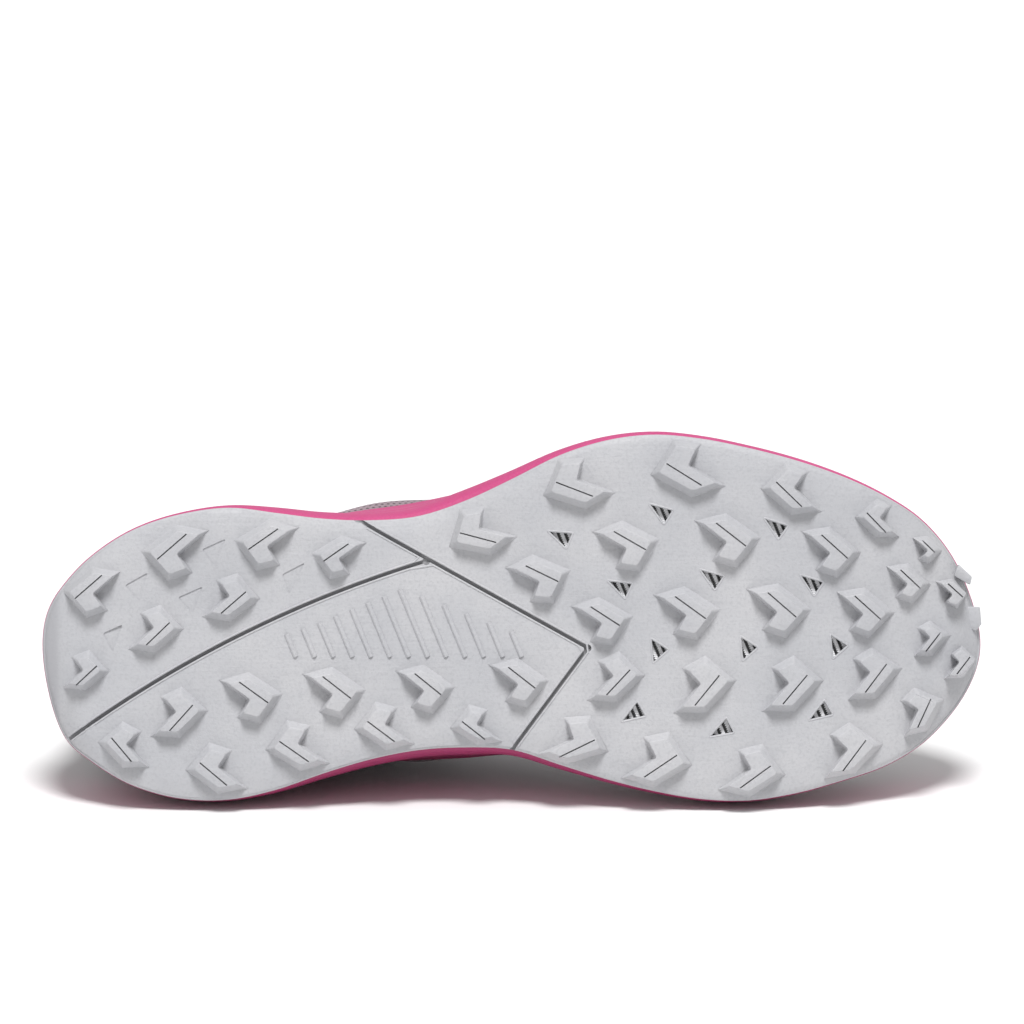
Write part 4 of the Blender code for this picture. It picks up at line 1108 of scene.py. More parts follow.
def tread(finish):
    """The moulded rubber piece."""
    sheet = tread_sheet()
    underside = Underside(sheet)
    cut(sheet, tread_cutters(underside))
    for channel in channels(underside):
        cut(sheet, channel)
    deep = faces_for_channel_painted_shade(sheet, underside)
    blocks = lugs(underside)
    pieces = [sheet, blocks] + window_rims(underside) + channel_lips(underside)
    pieces += panel_ribs(underside) + bumpers(underside)
    whole = smooth(joined("outsole_rubber", pieces))
    whole = laid(whole, finish, replaces=["outsole"])
    # Faces down in the channels take the darker second rubber: a painted shade in the grooves.
    shade = np.zeros(len(whole.data.polygons), dtype=np.int32)
    shade[deep] = 1
    whole.data.polygons.foreach_set("material_index", shade)
    return whole


def faces_for_channel_painted_shade(sheet, underside):
    """Faces of the sheet that lie down in a channel, which take a painted shade."""
    lines = np.array([point[:2] for ends in CHANNELS for point in channel_line(underside, *ends)])
    deep = []
    for face in sheet.data.polygons:
        x, y, z = face.center
        off = np.linalg.norm(lines - (x, y), axis=1).min()
        if off < CHANNEL_REACH and CHANNEL_PAINTED_SHADE_DEPTH < z - underside.height(x, y) < RUBBER * SKIN:
            deep.append(face.index)
    return deep


def foam(finish):
    """The moulded foam midsole: recess for the plate, sculpted sides and a rim that holds the upper."""
    theta = fine_angles()
    out = np.concatenate([outward(theta), np.zeros((FINE, 1))], axis=1)
    low_gap = RUBBER + GAP
    recess = RUBBER + PLATE + 2.0 * GAP
    rings = [sheet_ring(theta, level, recess) for level in (0.0, SPINE_LEVEL, MIDDLE_LEVEL, RECESS_LEVEL)]
    rings += [sheet_ring(theta, level, low_gap) for level in (RECESS_LEVEL + RECESS_WALL, *FOAM_LEVELS)]
    low = sheet_ring(theta, 1.0, low_gap)
    waist = np.exp(-(((share_along(theta) - THIN_RIM_AT) / THIN_RIM_WIDE) ** 2)) * (np.sin(theta) < 0.0)
    rim_wall = RIM_WALL - THIN_RIM * waist
    rim = upper_point(theta, RIM_LEVEL, GAP + rim_wall)
    flare = WAIST_FLARE * around(SOLE["along"], SOLE["flare_medial"], SOLE["flare_lateral"], theta)
    rings.append(low - out * SHEET_ROUND * 0.5)
    for level in np.linspace(0.0, 1.0, SIDE_ROWS):
        plan_share = level**SIDE_CURVE
        ring = low + (rim - low) * (plan_share, plan_share, level)
        bulge = math.sin(math.pi * level**FLARE_CURVE) if 0.0 < level < 1.0 else 0.0
        sculpt = flare * bulge - side_groove(theta, level)
        if level == 0.0:
            ring = ring + np.array((0.0, 0.0, SHEET_ROUND * 0.5))
        rings.append(ring + out * sculpt[:, None])
    for turn in np.linspace(0.25, 1.0, 4) * math.pi:
        level = RIM_LEVEL + RIM_ROLL * math.sin(turn)
        rings.append(upper_point(theta, level, GAP + rim_wall * (1.0 + math.cos(turn)) / 2.0))
    for level in RIM_LEVELS:
        rings.append(upper_point(theta, level, GAP))
    seat = upper_point(theta, 0.0, GAP)
    seat[:, 2] = footbed(seat[:, 0])
    rings.append(seat)
    centre = spine(theta)
    for level in FOOTBED_LEVELS:
        plan = centre + (seat[:, :2] - centre) * level
        rings.append(stacked(plan[:, 0], plan[:, 1], footbed(plan[:, 0])))
    piece = smooth(merged(wrapped("midsole_foam", rings, loop=True)), 50.0)
    return laid(piece, finish, replaces=["midsole"])


def side_groove(theta, level):
    """Two soft troughs that run along the side of the foam."""
    along = share_along(theta)
    depth = np.zeros_like(along)
    for middle, rise, start, end in GROOVES:
        line = middle + rise * (along - start) / (end - start)
        reach = ease(start, start + GROOVE_EASE, along) * (1.0 - ease(end - GROOVE_EASE, end, along))
        depth = depth + GROOVE_DEPTH * reach * np.exp(-(((level - line) / GROOVE_WIDTH) ** 2))
    return depth


def creased(theta, level):
    """How far the cloth stands out of the last's shape."""
    along = share_along(theta)
    side = np.sign(np.sin(theta))
    out = np.zeros_like(along)
    for where, height, which, half, tall, depth in BULGES:
        reach = np.exp(-(((along - where) / half) ** 2) - ((level - height) / tall) ** 2)
        out = out + depth * reach * ease(*BULGE_EASE, level) * (side == which)
    for where, height, which, lean, half, tall, depth in CREASES:
        run = (along - where - lean * (level - height) * CREASE_LEAN) / half
        rise = (level - height) / tall
        out = out - depth * np.exp(-(run**2) - rise**2) * (side == which)
    return out


def rolled_edge(theta, steps=5):
    """Rings over the top edge of the upper, from its outer face to its inner face."""
    rings = []
    top = upper_point(theta, 1.0)
    below = upper_point(theta, 0.985)
    rise = unit(top - below)
    thick = wall(theta, 1.0)
    for turn in np.linspace(0.0, math.pi, steps + 2)[1:-1]:
        middle = upper_point(theta, 1.0, -thick * (1.0 - math.cos(turn)) / 2.0)
        rings.append(middle + rise * (thick / 2.0 * math.sin(turn))[:, None])
    return rings


def upper_shell(cloth, lining):
    """The hollow upper: cloth outside, soft lining inside."""
    theta = fine_angles()
    rings = []
    for level in np.linspace(0.0, 1.0, OUTER_ROWS):
        rings.append(upper_point(theta, level, creased(theta, level)))
    rings += rolled_edge(theta)
    for level in np.linspace(1.0, 0.0, INNER_ROWS):
        rings.append(upper_point(theta, level, -wall(theta, level)))
    piece = wrapped("upper_cloth", rings, loop=True, tube=True)
    merged(piece)
    cut(piece, punches())
    shade = np.zeros(len(piece.data.polygons), dtype=np.int32)
    outer = shell_tree()
    probe = Vector(upper_point(np.array([1.0]), 0.4, 0.01)[0])
    near, normal = outer.find_nearest(probe)[:2]
    facing = math.copysign(1.0, (probe - near).dot(normal))
    for face in piece.data.polygons:
        near, normal, _, gap = outer.find_nearest(face.center)
        inward = face.normal.dot(normal) * facing < INWARD
        shade[face.index] = 1 if inward and gap > WALL * 0.6 else 0
    piece = laid(smooth(piece, 60.0), finish=[cloth, lining], replaces=["upper"])
    piece.data.polygons.foreach_set("material_index", shade)
    return piece


def shell_tree():
    """The outer face of the upper, for finding the nearest point on it."""
    theta = fine_angles()
    rows = [upper_point(theta, level) for level in np.linspace(0.0, 1.0, OUTER_ROWS)]
    points = np.array(rows).reshape(-1, 3)
    faces = []
    for row in range(OUTER_ROWS - 1):
        for i in range(FINE):
            j = (i + 1) % FINE
            faces.append((row * FINE + i, row * FINE + j, (row + 1) * FINE + j, (row + 1) * FINE + i))
    return BVHTree.FromPolygons([Vector(point) for point in points], faces)


def punches():
    """Round punches for the eyelets, as one cutter."""
    made = []
    for theta in np.concatenate([eyelet_angles(), -eyelet_angles()]):
        middle, turn = eyelet_frame(theta)
        nothing_selected()
        bpy.ops.mesh.primitive_cylinder_add(vertices=PUNCH_SIDES, radius=EYELET / 2.0, depth=PUNCH)
        punch = bpy.context.object
        punch.data.transform(Matrix.Translation(middle) @ turn)
        made.append(punch)
    return joined("punches", made)


def eyelet_frame(theta):
    """Middle of an eyelet and the turn that stands its axis out of the upper."""
    middle = Vector(upper_point(theta, EYELET_LEVEL))
    way = (Vector(upper_point(theta, EYELET_LEVEL, 0.004)) - middle).normalized()
    return middle, way.to_track_quat("Z", "Y").to_matrix().to_4x4()


def film(name, theta, low, high, rows, finish, node, holes=None):
    """An overlay bonded to the cloth between two levels for each angle, with a softened edge."""
    low = np.full(len(theta), low)
    shares = np.linspace(0.0, 1.0, rows)
    levels = low[:, None] + (high - low)[:, None] * shares
    angles = np.repeat(theta[:, None], rows, axis=1)
    points = upper_point(angles, levels, GAP + creased(angles, levels))
    piece = wrapped(name, points)
    edit_all(piece)
    bpy.ops.mesh.normals_make_consistent(inside=False)
    bpy.ops.object.mode_set(mode="OBJECT")
    face = piece.data.polygons[len(piece.data.polygons) // 2]
    out = upper_point(angles, levels, GAP + 0.002)[len(theta) // 2, rows // 2]
    if (Vector(out) - face.center).dot(face.normal) < 0.0:
        piece.data.flip_normals()
    finished(piece, "SOLIDIFY", thickness=OVERLAY, offset=1.0)
    if holes:
        cut(piece, holes())
    return laid(softened(piece), finish, replaces=[node])


def softened(piece, width=0.00035):
    finished(piece, "BEVEL", width=width, segments=2, limit_method="ANGLE", angle_limit=math.radians(50.0))
    return smooth(piece, 45.0)


def toe_cap(finish):
    end = float(station_angle(TOE_CAP_END))
    theta = np.linspace(end, 2.0 * math.pi - end, TOE_GRID[0])
    fullness = ease(TOE_CAP_END, 1.0, share_along(theta)) ** 0.5
    high = TOE_CAP_LOW + (TOE_CAP_HEIGHT - TOE_CAP_LOW) * fullness
    return film("toe_film", theta, OVERLAY_FOOT, high, TOE_GRID[1], finish, "toe_cap")


def heel_counter(finish):
    end = float(station_angle(COUNTER_END))
    theta = np.linspace(-end, end, COUNTER_GRID[0])
    fullness = 1.0 - ease(0.0, COUNTER_END, share_along(theta))
    high = COUNTER_LOW + (COUNTER_HEIGHT - COUNTER_LOW) * fullness
    return film("heel_film", theta, OVERLAY_FOOT, high, COUNTER_GRID[1], finish, "heel_counter")


def eyestay(finish):
    start = float(station_angle(EYESTAY_START))
    theta = np.linspace(start, 2.0 * math.pi - start, EYESTAY_GRID[0])
    high = np.full(len(theta), EYESTAY_HEAD)
    return film("eyestay_film", theta, EYESTAY_FOOT, high, EYESTAY_GRID[1], finish, "eyestay", punches)


def tongue(finish):
    """The padded tongue, softened from its solid."""
    piece = linked("tongue_pad", frame["nodes"]["tongue"].data.copy())
    merged(piece, 1e-5)
    edit_all(piece)
    bpy.ops.mesh.tris_convert_to_quads(face_threshold=math.radians(60.0), shape_threshold=math.radians(60.0))
    bpy.ops.object.mode_set(mode="OBJECT")
    finished(piece, "SUBSURF", levels=3, render_levels=3)
    smooth(piece, 60.0)
    piece.data.materials.clear()
    piece.data.materials.append(finish)
    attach(piece, "root")
    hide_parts("tongue")
    return piece


def insole(finish):
    """The footbed inside, with a raised rounded edge."""
    theta = fine_angles()
    edge = upper_point(theta, 0.0, -WALL - 2.0 * GAP)
    centre = spine(theta)
    rings = []
    for level, top in INSOLE_FINE:
        plan = centre + (edge[:, :2] - centre) * level
        rings.append(stacked(plan[:, 0], plan[:, 1], footbed(plan[:, 0]) + GAP + INSOLE * top))
    piece = smooth(merged(wrapped("insole_pad", rings, loop=True)), 50.0)
    laid(piece, finish, replaces=["insole"])
    return piece


def eyelet_rings(finish):
    """A thin pressed ring around each eyelet."""
    rings = []
    for theta in np.concatenate([eyelet_angles(), -eyelet_angles()]):
        middle, turn = eyelet_frame(theta)
        out = (turn @ Vector((0.0, 0.0, 1.0))) * (GAP + OVERLAY)
        nothing_selected()
        bpy.ops.mesh.primitive_torus_add(
            major_radius=EYELET / 2.0 + EYELET_RING * 0.4,
            minor_radius=EYELET_RING,
            major_segments=28,
            minor_segments=8,
        )
        ring = bpy.context.object
        ring.data.transform(Matrix.Translation(middle + out) @ turn @ Matrix.Diagonal((1.0, 1.0, 0.6, 1.0)))
        rings.append(ring)
    return laid(smooth(joined("eyelet_rings", rings), 60.0), finish)


def lace_stretch(low, high):
    """Middle line of one stretch of lace: out of its lower eyelet, over the edge of the throat, across the
    tongue, under the far edge and up into the next eyelet. Each point has its half width."""
    full = LACE_WIDTH / 2.0
    thin = EYELET * LACE_PINCH
    seat = 2.0 * GAP + OVERLAY + LACE / 2.0
    points = [
        (upper_point(low, EYELET_LEVEL, -WALL * 0.9), thin),
        (upper_point(low, EYELET_LEVEL + 0.004, seat * 0.4), thin),
        (upper_point(low, EYELET_LEVEL + 0.020, seat + 0.0006), thin * 1.3),
        (upper_point(low, EYELET_LEVEL + 0.042, seat), full * 0.9),
        (upper_point(low, EYESTAY_HEAD, seat), full),
    ]
    start = upper_point(low, EYESTAY_HEAD, seat + LACE_PLAY)
    end = under_edge(high)
    arch = np.array((0.0, 0.0, LACE_ARCH))
    for share in LACE_SHARES:
        points.append((start * (1.0 - share) + end * share + arch * 4.0 * share * (1.0 - share), full))
    return points + lace_tail(high)[::-1]


def lace_tail(theta):
    """The end of a stretch of lace, from its eyelet to under the edge of the throat."""
    full = LACE_WIDTH / 2.0
    return [
        (upper_point(theta, EYELET_LEVEL, -WALL * 0.6), EYELET * LACE_PINCH),
        (upper_point(theta, EYELET_LEVEL + 0.03, -WALL - LACE * 0.55), full * 0.75),
        (upper_point(theta, EYESTAY_HEAD, -WALL - LACE / 2.0), full * 0.95),
        (under_edge(theta), full),
    ]


def under_edge(theta):
    near = upper_point(theta, 1.0, -WALL / 2.0 - LACE_PLAY)
    far = upper_point(-theta, 1.0, -WALL / 2.0 - LACE_PLAY)
    return near + (far - near) * LACE_INSIDE


def ribbon(name, spots):
    """A flat woven lace through spots of middle point and half width."""
    knots = np.array([spot for spot, _ in spots])
    halves = np.array([half for _, half in spots])
    length = np.concatenate([[0.0], np.cumsum(np.linalg.norm(np.diff(knots, axis=0), axis=1))])
    place = np.linspace(0.0, length[-1], LACE_POINTS)
    path = np.stack([smooth_through(length, knots[:, axis], place) for axis in range(3)], axis=-1)
    half = np.interp(place, length, halves)
    run = unit(np.gradient(path, axis=0))
    instep = upper_edge(station_angle(EYESTAY_START)) - upper_edge(math.pi)
    across = unit(instep - run * (run @ instep)[:, None])
    up = np.cross(run, across)
    area = LACE_WIDTH * LACE
    rings = []
    for point, side, rise, wide in zip(path, across, up, half):
        thick = min(LACE / 2.0, area / (8.0 * wide)) if wide < LACE_WIDTH / 3.0 else LACE / 2.0
        ring = []
        for turn in np.linspace(0.0, 2.0 * math.pi, LACE_SIDES, endpoint=False):
            x = math.copysign(abs(math.cos(turn)) ** LACE_SQUARE[0], math.cos(turn)) * wide
            z = math.copysign(abs(math.sin(turn)) ** LACE_SQUARE[1], math.sin(turn)) * thick
            ring.append(point + side * x + rise * z)
        rings.append(ring)
    return smooth(capped(wrapped(name, rings, loop=True)), 70.0)


def laces(finish):
    """The bar at the front of the throat and the crossings above it."""
    angles = eyelet_angles()
    front = ribbon("lace_front", under_bar(angles[0]))
    made = [laid(front, finish, replaces=["lace_bar"])]
    for i in range(EYELET_PAIRS - 1):
        pair = []
        for low, high in ((angles[i], -angles[i + 1]), (-angles[i], angles[i + 1])):
            pair.append(ribbon("lace_side", lace_stretch(low, high)))
        piece = joined(f"lace_cross_{i + 1}", pair)
        made.append(laid(piece, finish, replaces=[f"lace_crossing_{i + 1}"]))
    return made


def under_bar(theta):
    """The first stretch, which runs under both edges of the throat."""
    near = lace_tail(theta)
    far = lace_tail(-theta)
    middle = (near[-1][0] + far[-1][0]) / 2.0 + np.array((0.0, 0.0, LACE_ARCH))
    return near + [(middle, LACE_WIDTH / 2.0)] + far[::-1]


def stitches(name, path, normals, finish):
    """Short threads along a line on the cloth."""
    steps = np.linalg.norm(np.diff(path, axis=0), axis=1)
    length = np.concatenate([[0.0], np.cumsum(steps)])
    count = int(length[-1] / STITCH_PITCH)
    nothing_selected()
    bpy.ops.mesh.primitive_uv_sphere_add(segments=6, ring_count=5, radius=0.5)
    model = bpy.context.object
    model.data.transform(Matrix.Diagonal((STITCH, STITCH_THICK, STITCH_THICK, 1.0)))
    corners = np.array([vertex.co for vertex in model.data.vertices])
    made = []
    for place in (np.arange(count) + 0.5) * length[-1] / count:
        spot = np.array([np.interp(place, length, path[:, axis]) for axis in range(3)])
        ahead = np.array([np.interp(place + STITCH / 2.0, length, path[:, axis]) for axis in range(3)])
        out = np.array([np.interp(place, length, normals[:, axis]) for axis in range(3)])
        way = unit(ahead - spot)
        side = unit(np.cross(out, way))
        turn = np.stack([way, side, np.cross(way, side)], axis=1)
        stitch = model.data.copy()
        stitch.vertices.foreach_set("co", (corners @ turn.T + spot).astype(np.float32).reshape(-1))
        made.append(linked("stitch", stitch))
    bpy.data.objects.remove(model, do_unlink=True)
    return laid(smooth(joined(name, made), 80.0), finish)


def stitch_line(theta, level, offset):
    """Path and outward directions for a row of stitches on the upper."""
    path = upper_point(theta, level, offset + creased(theta, level))
    normal = upper_point(theta, level, offset + 0.001) - upper_point(theta, level, offset)
    return path, unit(normal)


def all_stitches(thread):
    """Two rows of stitches on the eyestay and one around the collar."""
    start = float(station_angle(EYESTAY_START + 0.004))
    theta = np.linspace(start, 2.0 * math.pi - start, STITCH_PROBES)
    proud = GAP + OVERLAY
    made = []
    for name, level in (("low", EYESTAY_FOOT + STITCH_LOW), ("high", EYESTAY_HEAD - STITCH_HIGH)):
        path, out = stitch_line(theta, np.full(STITCH_PROBES, level), proud)
        made.append(stitches(f"stitches_eyestay_{name}", path, out, thread))
    theta = np.linspace(-start + 0.03, start - 0.03, STITCH_PROBES)
    path, out = stitch_line(theta, np.full(STITCH_PROBES, COLLAR_STITCH), 0.0)
    made.append(stitches("stitches_collar", path, out, thread))
    return made


class Value:
    """An output of a node, so that sums of patterns are written as they read."""

    def __init__(self, finish, out):
        self.finish = finish
        self.out = out

    def _do(self, operation, *others):
        names = {i: other for i, other in enumerate(others)}
        return self.finish.node("Math", {"operation": operation}, names)

    def __add__(self, other):
        return self._do("ADD", self, other)

    def __sub__(self, other):
        return self._do("SUBTRACT", self, other)

    def __mul__(self, other):
        return self._do("MULTIPLY", self, other)

    def __rsub__(self, other):
        return self._do("SUBTRACT", other, self)

    def floor(self):
        return self._do("FLOOR", self)

    def waves(self, pitch):
        """Sine with one wave to each pitch, from 0 to 1."""
        return self._do("SINE", self * (2.0 * math.pi / pitch)) * 0.5 + 0.5

    def odd(self):
        """1 where the whole number is odd."""
        return self._do("PINGPONG", self, 1.0)

    def higher(self, other):
        return self._do("MAXIMUM", self, other)

    def eased(self, low, high):
        """0 below low, 1 above high, smooth between."""
        settings = {"interpolation_type": "SMOOTHSTEP"}
        return self.finish.node("MapRange", settings, {"Value": self, "From Min": low, "From Max": high})


class Finish:
    """A material being made: its shader's fixed values first, then its patterns."""

    def __init__(self, name, colour, roughness, **sockets):
        self.made = bpy.data.materials.new(name)
        self.made.use_nodes = True
        self.tree = self.made.node_tree
        self.shader = self.tree.nodes["Principled BSDF"]
        self.shader.inputs["Base Color"].default_value = (*colour, 1.0)
        self.shader.inputs["Roughness"].default_value = roughness
        for key, value in sockets.items():
            self.shader.inputs[key.replace("_", " ")].default_value = value

    def node(self, kind, settings=None, inputs=None, output=0):
        made = self.tree.nodes.new("ShaderNode" + kind)
        for key, value in (settings or {}).items():
            setattr(made, key, value)
        for key, value in (inputs or {}).items():
            if isinstance(value, Value):
                self.tree.links.new(value.out, made.inputs[key])
            else:
                made.inputs[key].default_value = value
        return Value(self, made.outputs[output])

    def places(self, kind="Object", scale=(1.0, 1.0, 1.0)):
        spots = self.node("TexCoord", output=kind)
        return self.node("Mapping", None, {"Vector": spots, "Scale": scale})

    def axes(self, place):
        """The three numbers of a place."""
        split = self.node("SeparateXYZ", None, {"Vector": place})
        outputs = split.out.node.outputs
        return [Value(self, outputs[i]) for i in range(3)]

    def noise(self, place, scale, detail=2.0, roughness=0.5):
        values = {"Vector": place, "Scale": scale, "Detail": detail, "Roughness": roughness}
        return self.node("TexNoise", None, values)

    def cells(self, place, scale):
        return self.node("TexVoronoi", None, {"Vector": place, "Scale": scale})

    def blend(self, share, low, high):
        """A colour between two."""
        made = self.tree.nodes.new("ShaderNodeMix")
        made.data_type = "RGBA"
        for socket, value in ((made.inputs[0], share), (made.inputs[6], low), (made.inputs[7], high)):
            if isinstance(value, Value):
                self.tree.links.new(value.out, socket)
            elif isinstance(value, tuple):
                socket.default_value = (*value, 1.0)
            else:
                socket.default_value = value
        return Value(self, made.outputs[2])

    def feed(self, socket, value):
        self.tree.links.new(value.out, self.shader.inputs[socket])

    def bumps(self, *layers):
        """Bump layers, each a pattern and how deep it is in metres."""
        below = None
        for pattern, depth in layers:
            inputs = {"Height": pattern, "Distance": depth, "Strength": 1.0}
            if below is not None:
                inputs["Normal"] = below
            below = self.node("Bump", None, inputs)
        self.feed("Normal", below)


def rubber_finish(name="grey_rubber", tone=1.0):
    """Grey moulded rubber: fine grain along the sole and faint bloom, with a painted shade on the heel bevel,
    which turns away from the light.
    """
    made = Finish(name, (0.49, 0.49, 0.51), 0.55, Specular_IOR_Level=0.4)
    plain = made.places()
    drawn = made.places(scale=(60.0, 700.0, 700.0))
    grain = made.noise(drawn, 1.0, 3.0, 0.6)
    fine = made.noise(plain, 1100.0, 2.0, 0.6)
    cloud = made.noise(plain, 26.0, 4.0, 0.6)
    # tone darkens every grey: at 0.60 it makes the painted shade of the channels
    low, high, streak, speck, bevel = [tuple(part * tone for part in colour) for colour in RUBBER_TINTS]
    tint = made.blend(cloud.eased(0.3, 0.75), low, high)
    tint = made.blend(grain.eased(0.55, 0.8) * 0.10, tint, streak)
    tint = made.blend(fine.eased(0.45, 0.70) * 0.30, tint, speck)
    # Painted shade: the rubber takes the darker bevel grey on the heel bevel, which turns away from the
    # light.
    along, _, _ = made.axes(plain)
    tint = made.blend(along.eased(*BEVEL_PAINTED_SHADE), bevel, tint)
    made.feed("Base Color", tint)
    made.feed("Roughness", cloud * 0.16 + fine * 0.10 + 0.40)
    made.bumps((grain, 0.00012), (fine, 0.00013))
    return made.made


def weave_finish():
    """Stiff woven sheet: steep stripes of dark and silver yarns, stepped like a twill, under clear resin."""
    made = Finish("plate_weave", (0.05, 0.05, 0.05), 0.3, Coat_Weight=0.4, Coat_Roughness=0.1)
    x, _, z = made.axes(made.places())
    stepped = (z * (1.0 / YARN)).floor() * YARN
    tooth = z.waves(YARN)
    stripe = (x * STRIPE_RUN + stepped * STRIPE_RISE).waves(STRIPE)
    silver = (stripe + tooth * 0.24).eased(0.46, 0.66)
    dirt = made.noise(made.places(), 300.0, 2.0)
    tint = made.blend(silver * (dirt * 0.15 + 0.88), (0.006, 0.006, 0.008), (0.98, 0.98, 1.0))
    made.feed("Base Color", tint)
    made.feed("Roughness", silver * 0.12 + dirt * 0.15 + 0.25)
    made.bumps((silver * 0.6 + tooth * 0.4, 0.00015))
    return made.made


def foam_finish():
    """Pink moulded foam: fine pebble of the mould, soft sheen, slight bleaching and a painted shade low down
    on its medial side, next to the floor.
    """
    made = Finish("pink_foam", (0.46, 0.046, 0.168), 0.6, Subsurface_Weight=0.03)
    plain = made.places()
    pebble = made.cells(plain, 1500.0)
    cloud = made.noise(plain, 18.0, 4.0, 0.6)
    wide = made.noise(plain, 240.0, 3.0, 0.6)
    tint = made.blend(cloud.eased(0.3, 0.75), (0.45, 0.042, 0.162), (0.49, 0.056, 0.188))
    tint = made.blend(pebble.eased(0.25, 0.6) * 0.08, tint, (0.70, 0.16, 0.32))
    # Painted shade: the foam turns a deeper pink low down on its medial side, next to the floor, where shade
    # falls.
    _, _, up = made.axes(plain)
    made.feed("Base Color", made.blend(up.eased(*MEDIAL_FOAM_PAINTED_SHADE), (0.285, 0.018, 0.092), tint))
    made.feed("Roughness", cloud * 0.15 + 0.5)
    made.bumps((wide, 0.00010), (pebble, 0.00006))
    return made.made


def mesh_finish():
    """Engineered mesh: open knit cells in rows and two tones of yarn."""
    made = Finish("grey_mesh", (0.38, 0.27, 0.32), 0.85, Sheen_Weight=0.3)
    place = made.places("UV")
    u, v, _ = made.axes(place)
    row = (v * (1.0 / CELL_HIGH)).floor()
    across = u * (1.0 / CELL_WIDE) + row.odd() * 0.5
    ring = across.waves(1.0)
    rise = v.waves(CELL_HIGH)
    hole = (ring * rise).eased(0.35, 0.75)
    yarn = (u + v).waves(MESH_YARN)
    cross = (u - v).waves(MESH_YARN)
    thread = yarn.higher(cross)
    cloud = made.noise(made.places(), 30.0, 3.0)
    tone = made.blend(cloud.eased(0.3, 0.7), (0.25, 0.175, 0.210), (0.33, 0.240, 0.280))
    tone = made.blend(thread * 0.35, tone, (0.43, 0.335, 0.375))
    tone = made.blend(hole * 0.8, tone, (0.05, 0.04, 0.045))
    made.feed("Base Color", tone)
    made.feed("Roughness", hole * 0.1 + thread * 0.08 + 0.78)
    made.bumps((1.0 - hole, 0.0004), (thread, 0.00012))
    return made.made


def knit_finish(name, dark, light, pitch):
    """A close knit, as on the lining, the tongue and the insole."""
    made = Finish(name, dark, 0.92, Sheen_Weight=0.4)
    plain = made.places()
    x, y, z = made.axes(plain)
    rows = (x + z * 0.35).waves(pitch)
    loops = (z + y).waves(pitch * 0.8)
    fuzz = made.noise(plain, 900.0, 3.0, 0.7)
    cloud = made.noise(plain, 35.0, 3.0)
    pattern = rows * loops
    made.feed("Base Color", made.blend(pattern * 0.6 + fuzz * 0.3, dark, light))
    made.feed("Roughness", cloud * 0.08 + 0.86)
    made.bumps((pattern, 0.00025), (fuzz, 0.0001))
    return made.made


def film_finish():
    """Thin dark film bonded over the mesh, which prints through it."""
    sheen = {"Coat_Weight": 0.08, "Coat_Roughness": 0.3, "Specular_IOR_Level": 0.35}
    made = Finish("dark_film", (0.02, 0.02, 0.023), 0.5, **sheen)
    place = made.places("UV")
    u, v, _ = made.axes(place)
    under = u.waves(CELL_WIDE) * v.waves(CELL_HIGH)
    plain = made.places()
    fine = made.noise(plain, 1400.0, 2.0)
    scuff = made.noise(plain, 60.0, 5.0, 0.7)
    tint = made.blend(scuff.eased(0.55, 0.8) * 0.5, (0.014, 0.014, 0.017), (0.045, 0.043, 0.048))
    made.feed("Base Color", tint)
    made.feed("Roughness", scuff * 0.25 + 0.34)
    made.bumps((under, 0.00003), (fine, 0.00004))
    return made.made


def lace_finish():
    """Flat woven lace: slanting plaits on each face."""
    made = Finish("lace_cloth", (0.68, 0.12, 0.27), 0.8, Sheen_Weight=0.4)
    place = made.places("UV")
    u, v, _ = made.axes(place)
    plait = (v + u * 0.6).waves(PLAIT)
    other = (v - u * 0.6).waves(PLAIT)
    weave = plait.higher(other)
    fuzz = made.noise(made.places(), 1200.0, 2.0, 0.7)
    made.feed("Base Color", made.blend(weave * 0.7 + fuzz * 0.2, (0.42, 0.055, 0.15), (0.80, 0.20, 0.36)))
    made.feed("Roughness", fuzz * 0.1 + 0.72)
    made.bumps((weave, 0.00018), (fuzz, 0.00005))
    return made.made


def thread_finish():
    made = Finish("thread", (0.42, 0.32, 0.37), 0.7, Sheen_Weight=0.3)
    twist = made.noise(made.places(), 2500.0, 2.0)
    made.feed("Base Color", made.blend(twist, (0.34, 0.25, 0.30), (0.52, 0.42, 0.46)))
    made.feed("Roughness", twist * 0.2 + 0.6)
    made.bumps((twist, 0.00005))
    return made.made


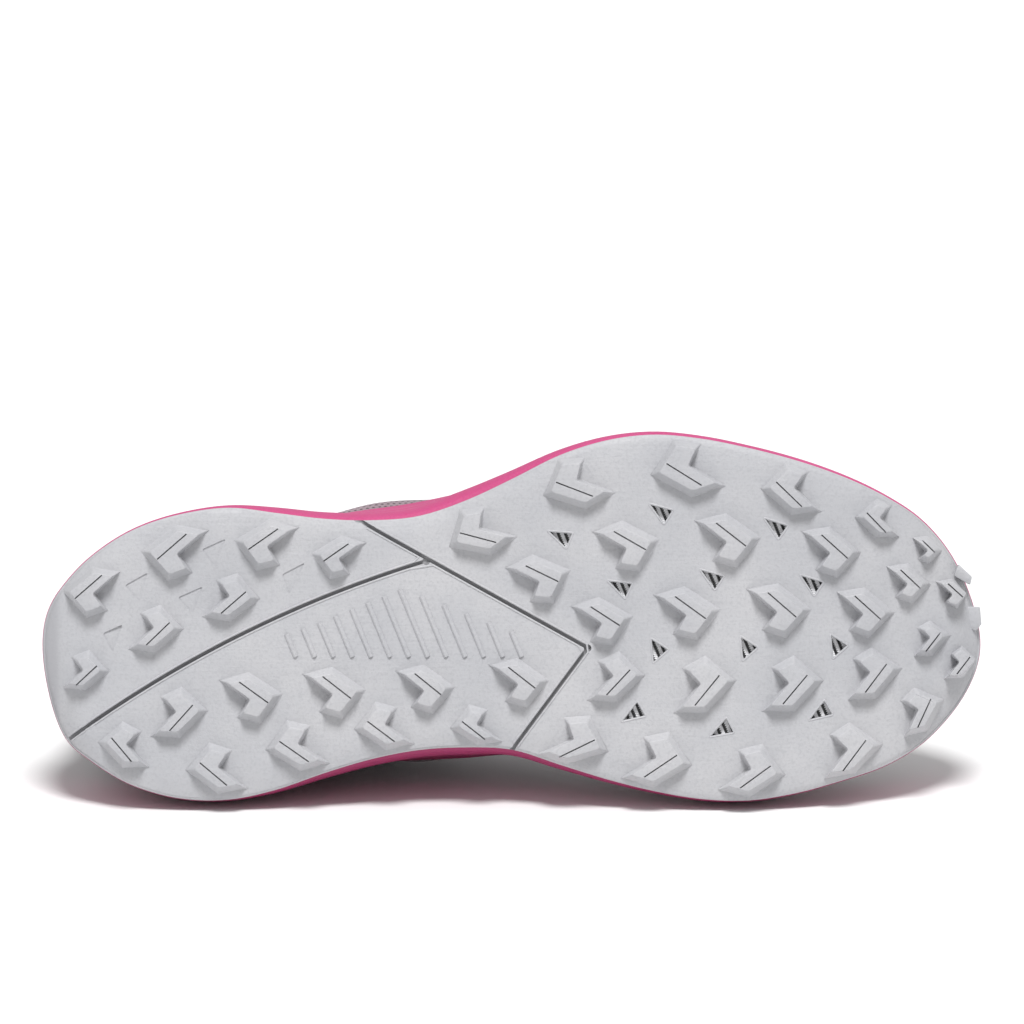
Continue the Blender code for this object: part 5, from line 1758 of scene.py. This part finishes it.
def stage():
    """Pale plain floor, soft light from above and a camera that looks straight at the sole."""
    nothing_selected()
    bpy.ops.mesh.primitive_plane_add(size=FLOOR_SIZE, location=(0.0, 0.0, -FLOOR_GAP))
    floor = bpy.context.object
    floor.name = "floor"
    paper = Finish("floor_paper", FLOOR_TONE, 0.4, Specular_IOR_Level=0.25)
    tooth = paper.noise(paper.places(), 90.0, 3.0)
    paper.feed("Roughness", tooth * 0.06 + 0.36)
    floor.data.materials.append(paper.made)
    world = bpy.data.worlds.new("studio")
    world.use_nodes = True
    world.node_tree.nodes["Background"].inputs["Color"].default_value = (1.0, 1.0, 1.0, 1.0)
    world.node_tree.nodes["Background"].inputs["Strength"].default_value = WORLD
    bpy.context.scene.world = world
    sun = bpy.data.lights.new("key", "SUN")
    sun.energy = SUN
    sun.angle = SUN_WIDE
    linked("key", sun).matrix_world = Vector(SUN_FROM).to_track_quat("Z", "Y").to_matrix().to_4x4()
    bpy.context.scene.view_settings.view_transform = "Standard"
    for name, place, aim, wide, power in LIGHTS:
        lamp = bpy.data.lights.new(name, "AREA")
        lamp.shape = "SQUARE"
        lamp.size = wide
        lamp.energy = power
        way = Vector(aim) - Vector(place)
        turn = way.to_track_quat("-Z", "Y").to_matrix().to_4x4()
        linked(name, lamp).matrix_world = Matrix.Translation(place) @ turn
    lens = bpy.data.cameras.new("camera")
    lens.lens = LENS
    lens.sensor_width = SENSOR
    lens.clip_start, lens.clip_end = CLIP
    camera = linked("camera", lens)
    target = LAY @ Vector(VIEW_CENTRE)
    turn = LAY.to_3x3()
    right = turn @ Vector((1.0, 0.0, 0.0))
    back = turn @ Vector((0.0, 0.0, -1.0))
    up = back.cross(right)
    axes = Matrix((right, up, back)).transposed().to_4x4()
    camera.matrix_world = Matrix.Translation(target + back * VIEW_DISTANCE) @ axes
    bpy.context.scene.camera = camera


def main():
    stage()
    rubber = rubber_finish()
    film_dark = film_finish()
    lining = knit_finish("lining_knit", (0.045, 0.042, 0.047), (0.12, 0.11, 0.12), 0.0016)
    padding = knit_finish("padding_knit", (0.05, 0.046, 0.052), (0.15, 0.135, 0.15), 0.0020)
    brushed = knit_finish("insole_cloth", (0.05, 0.05, 0.055), (0.13, 0.13, 0.14), 0.0012)
    # The second rubber, darker by its tone, is a painted shade for the faces down in the channels.
    tread([rubber, rubber_finish("channel_rubber_painted_shade", 0.60)])
    plate = frame["nodes"]["plate"]
    plate.data.materials.clear()
    plate.data.materials.append(weave_finish())
    foam(foam_finish())
    upper_shell(mesh_finish(), lining)
    toe_cap(film_dark)
    heel_counter(film_dark)
    eyestay(film_dark)
    tongue(padding)
    insole(brushed)
    eyelet_rings(film_dark)
    laces(lace_finish())
    all_stitches(thread_finish())


main()
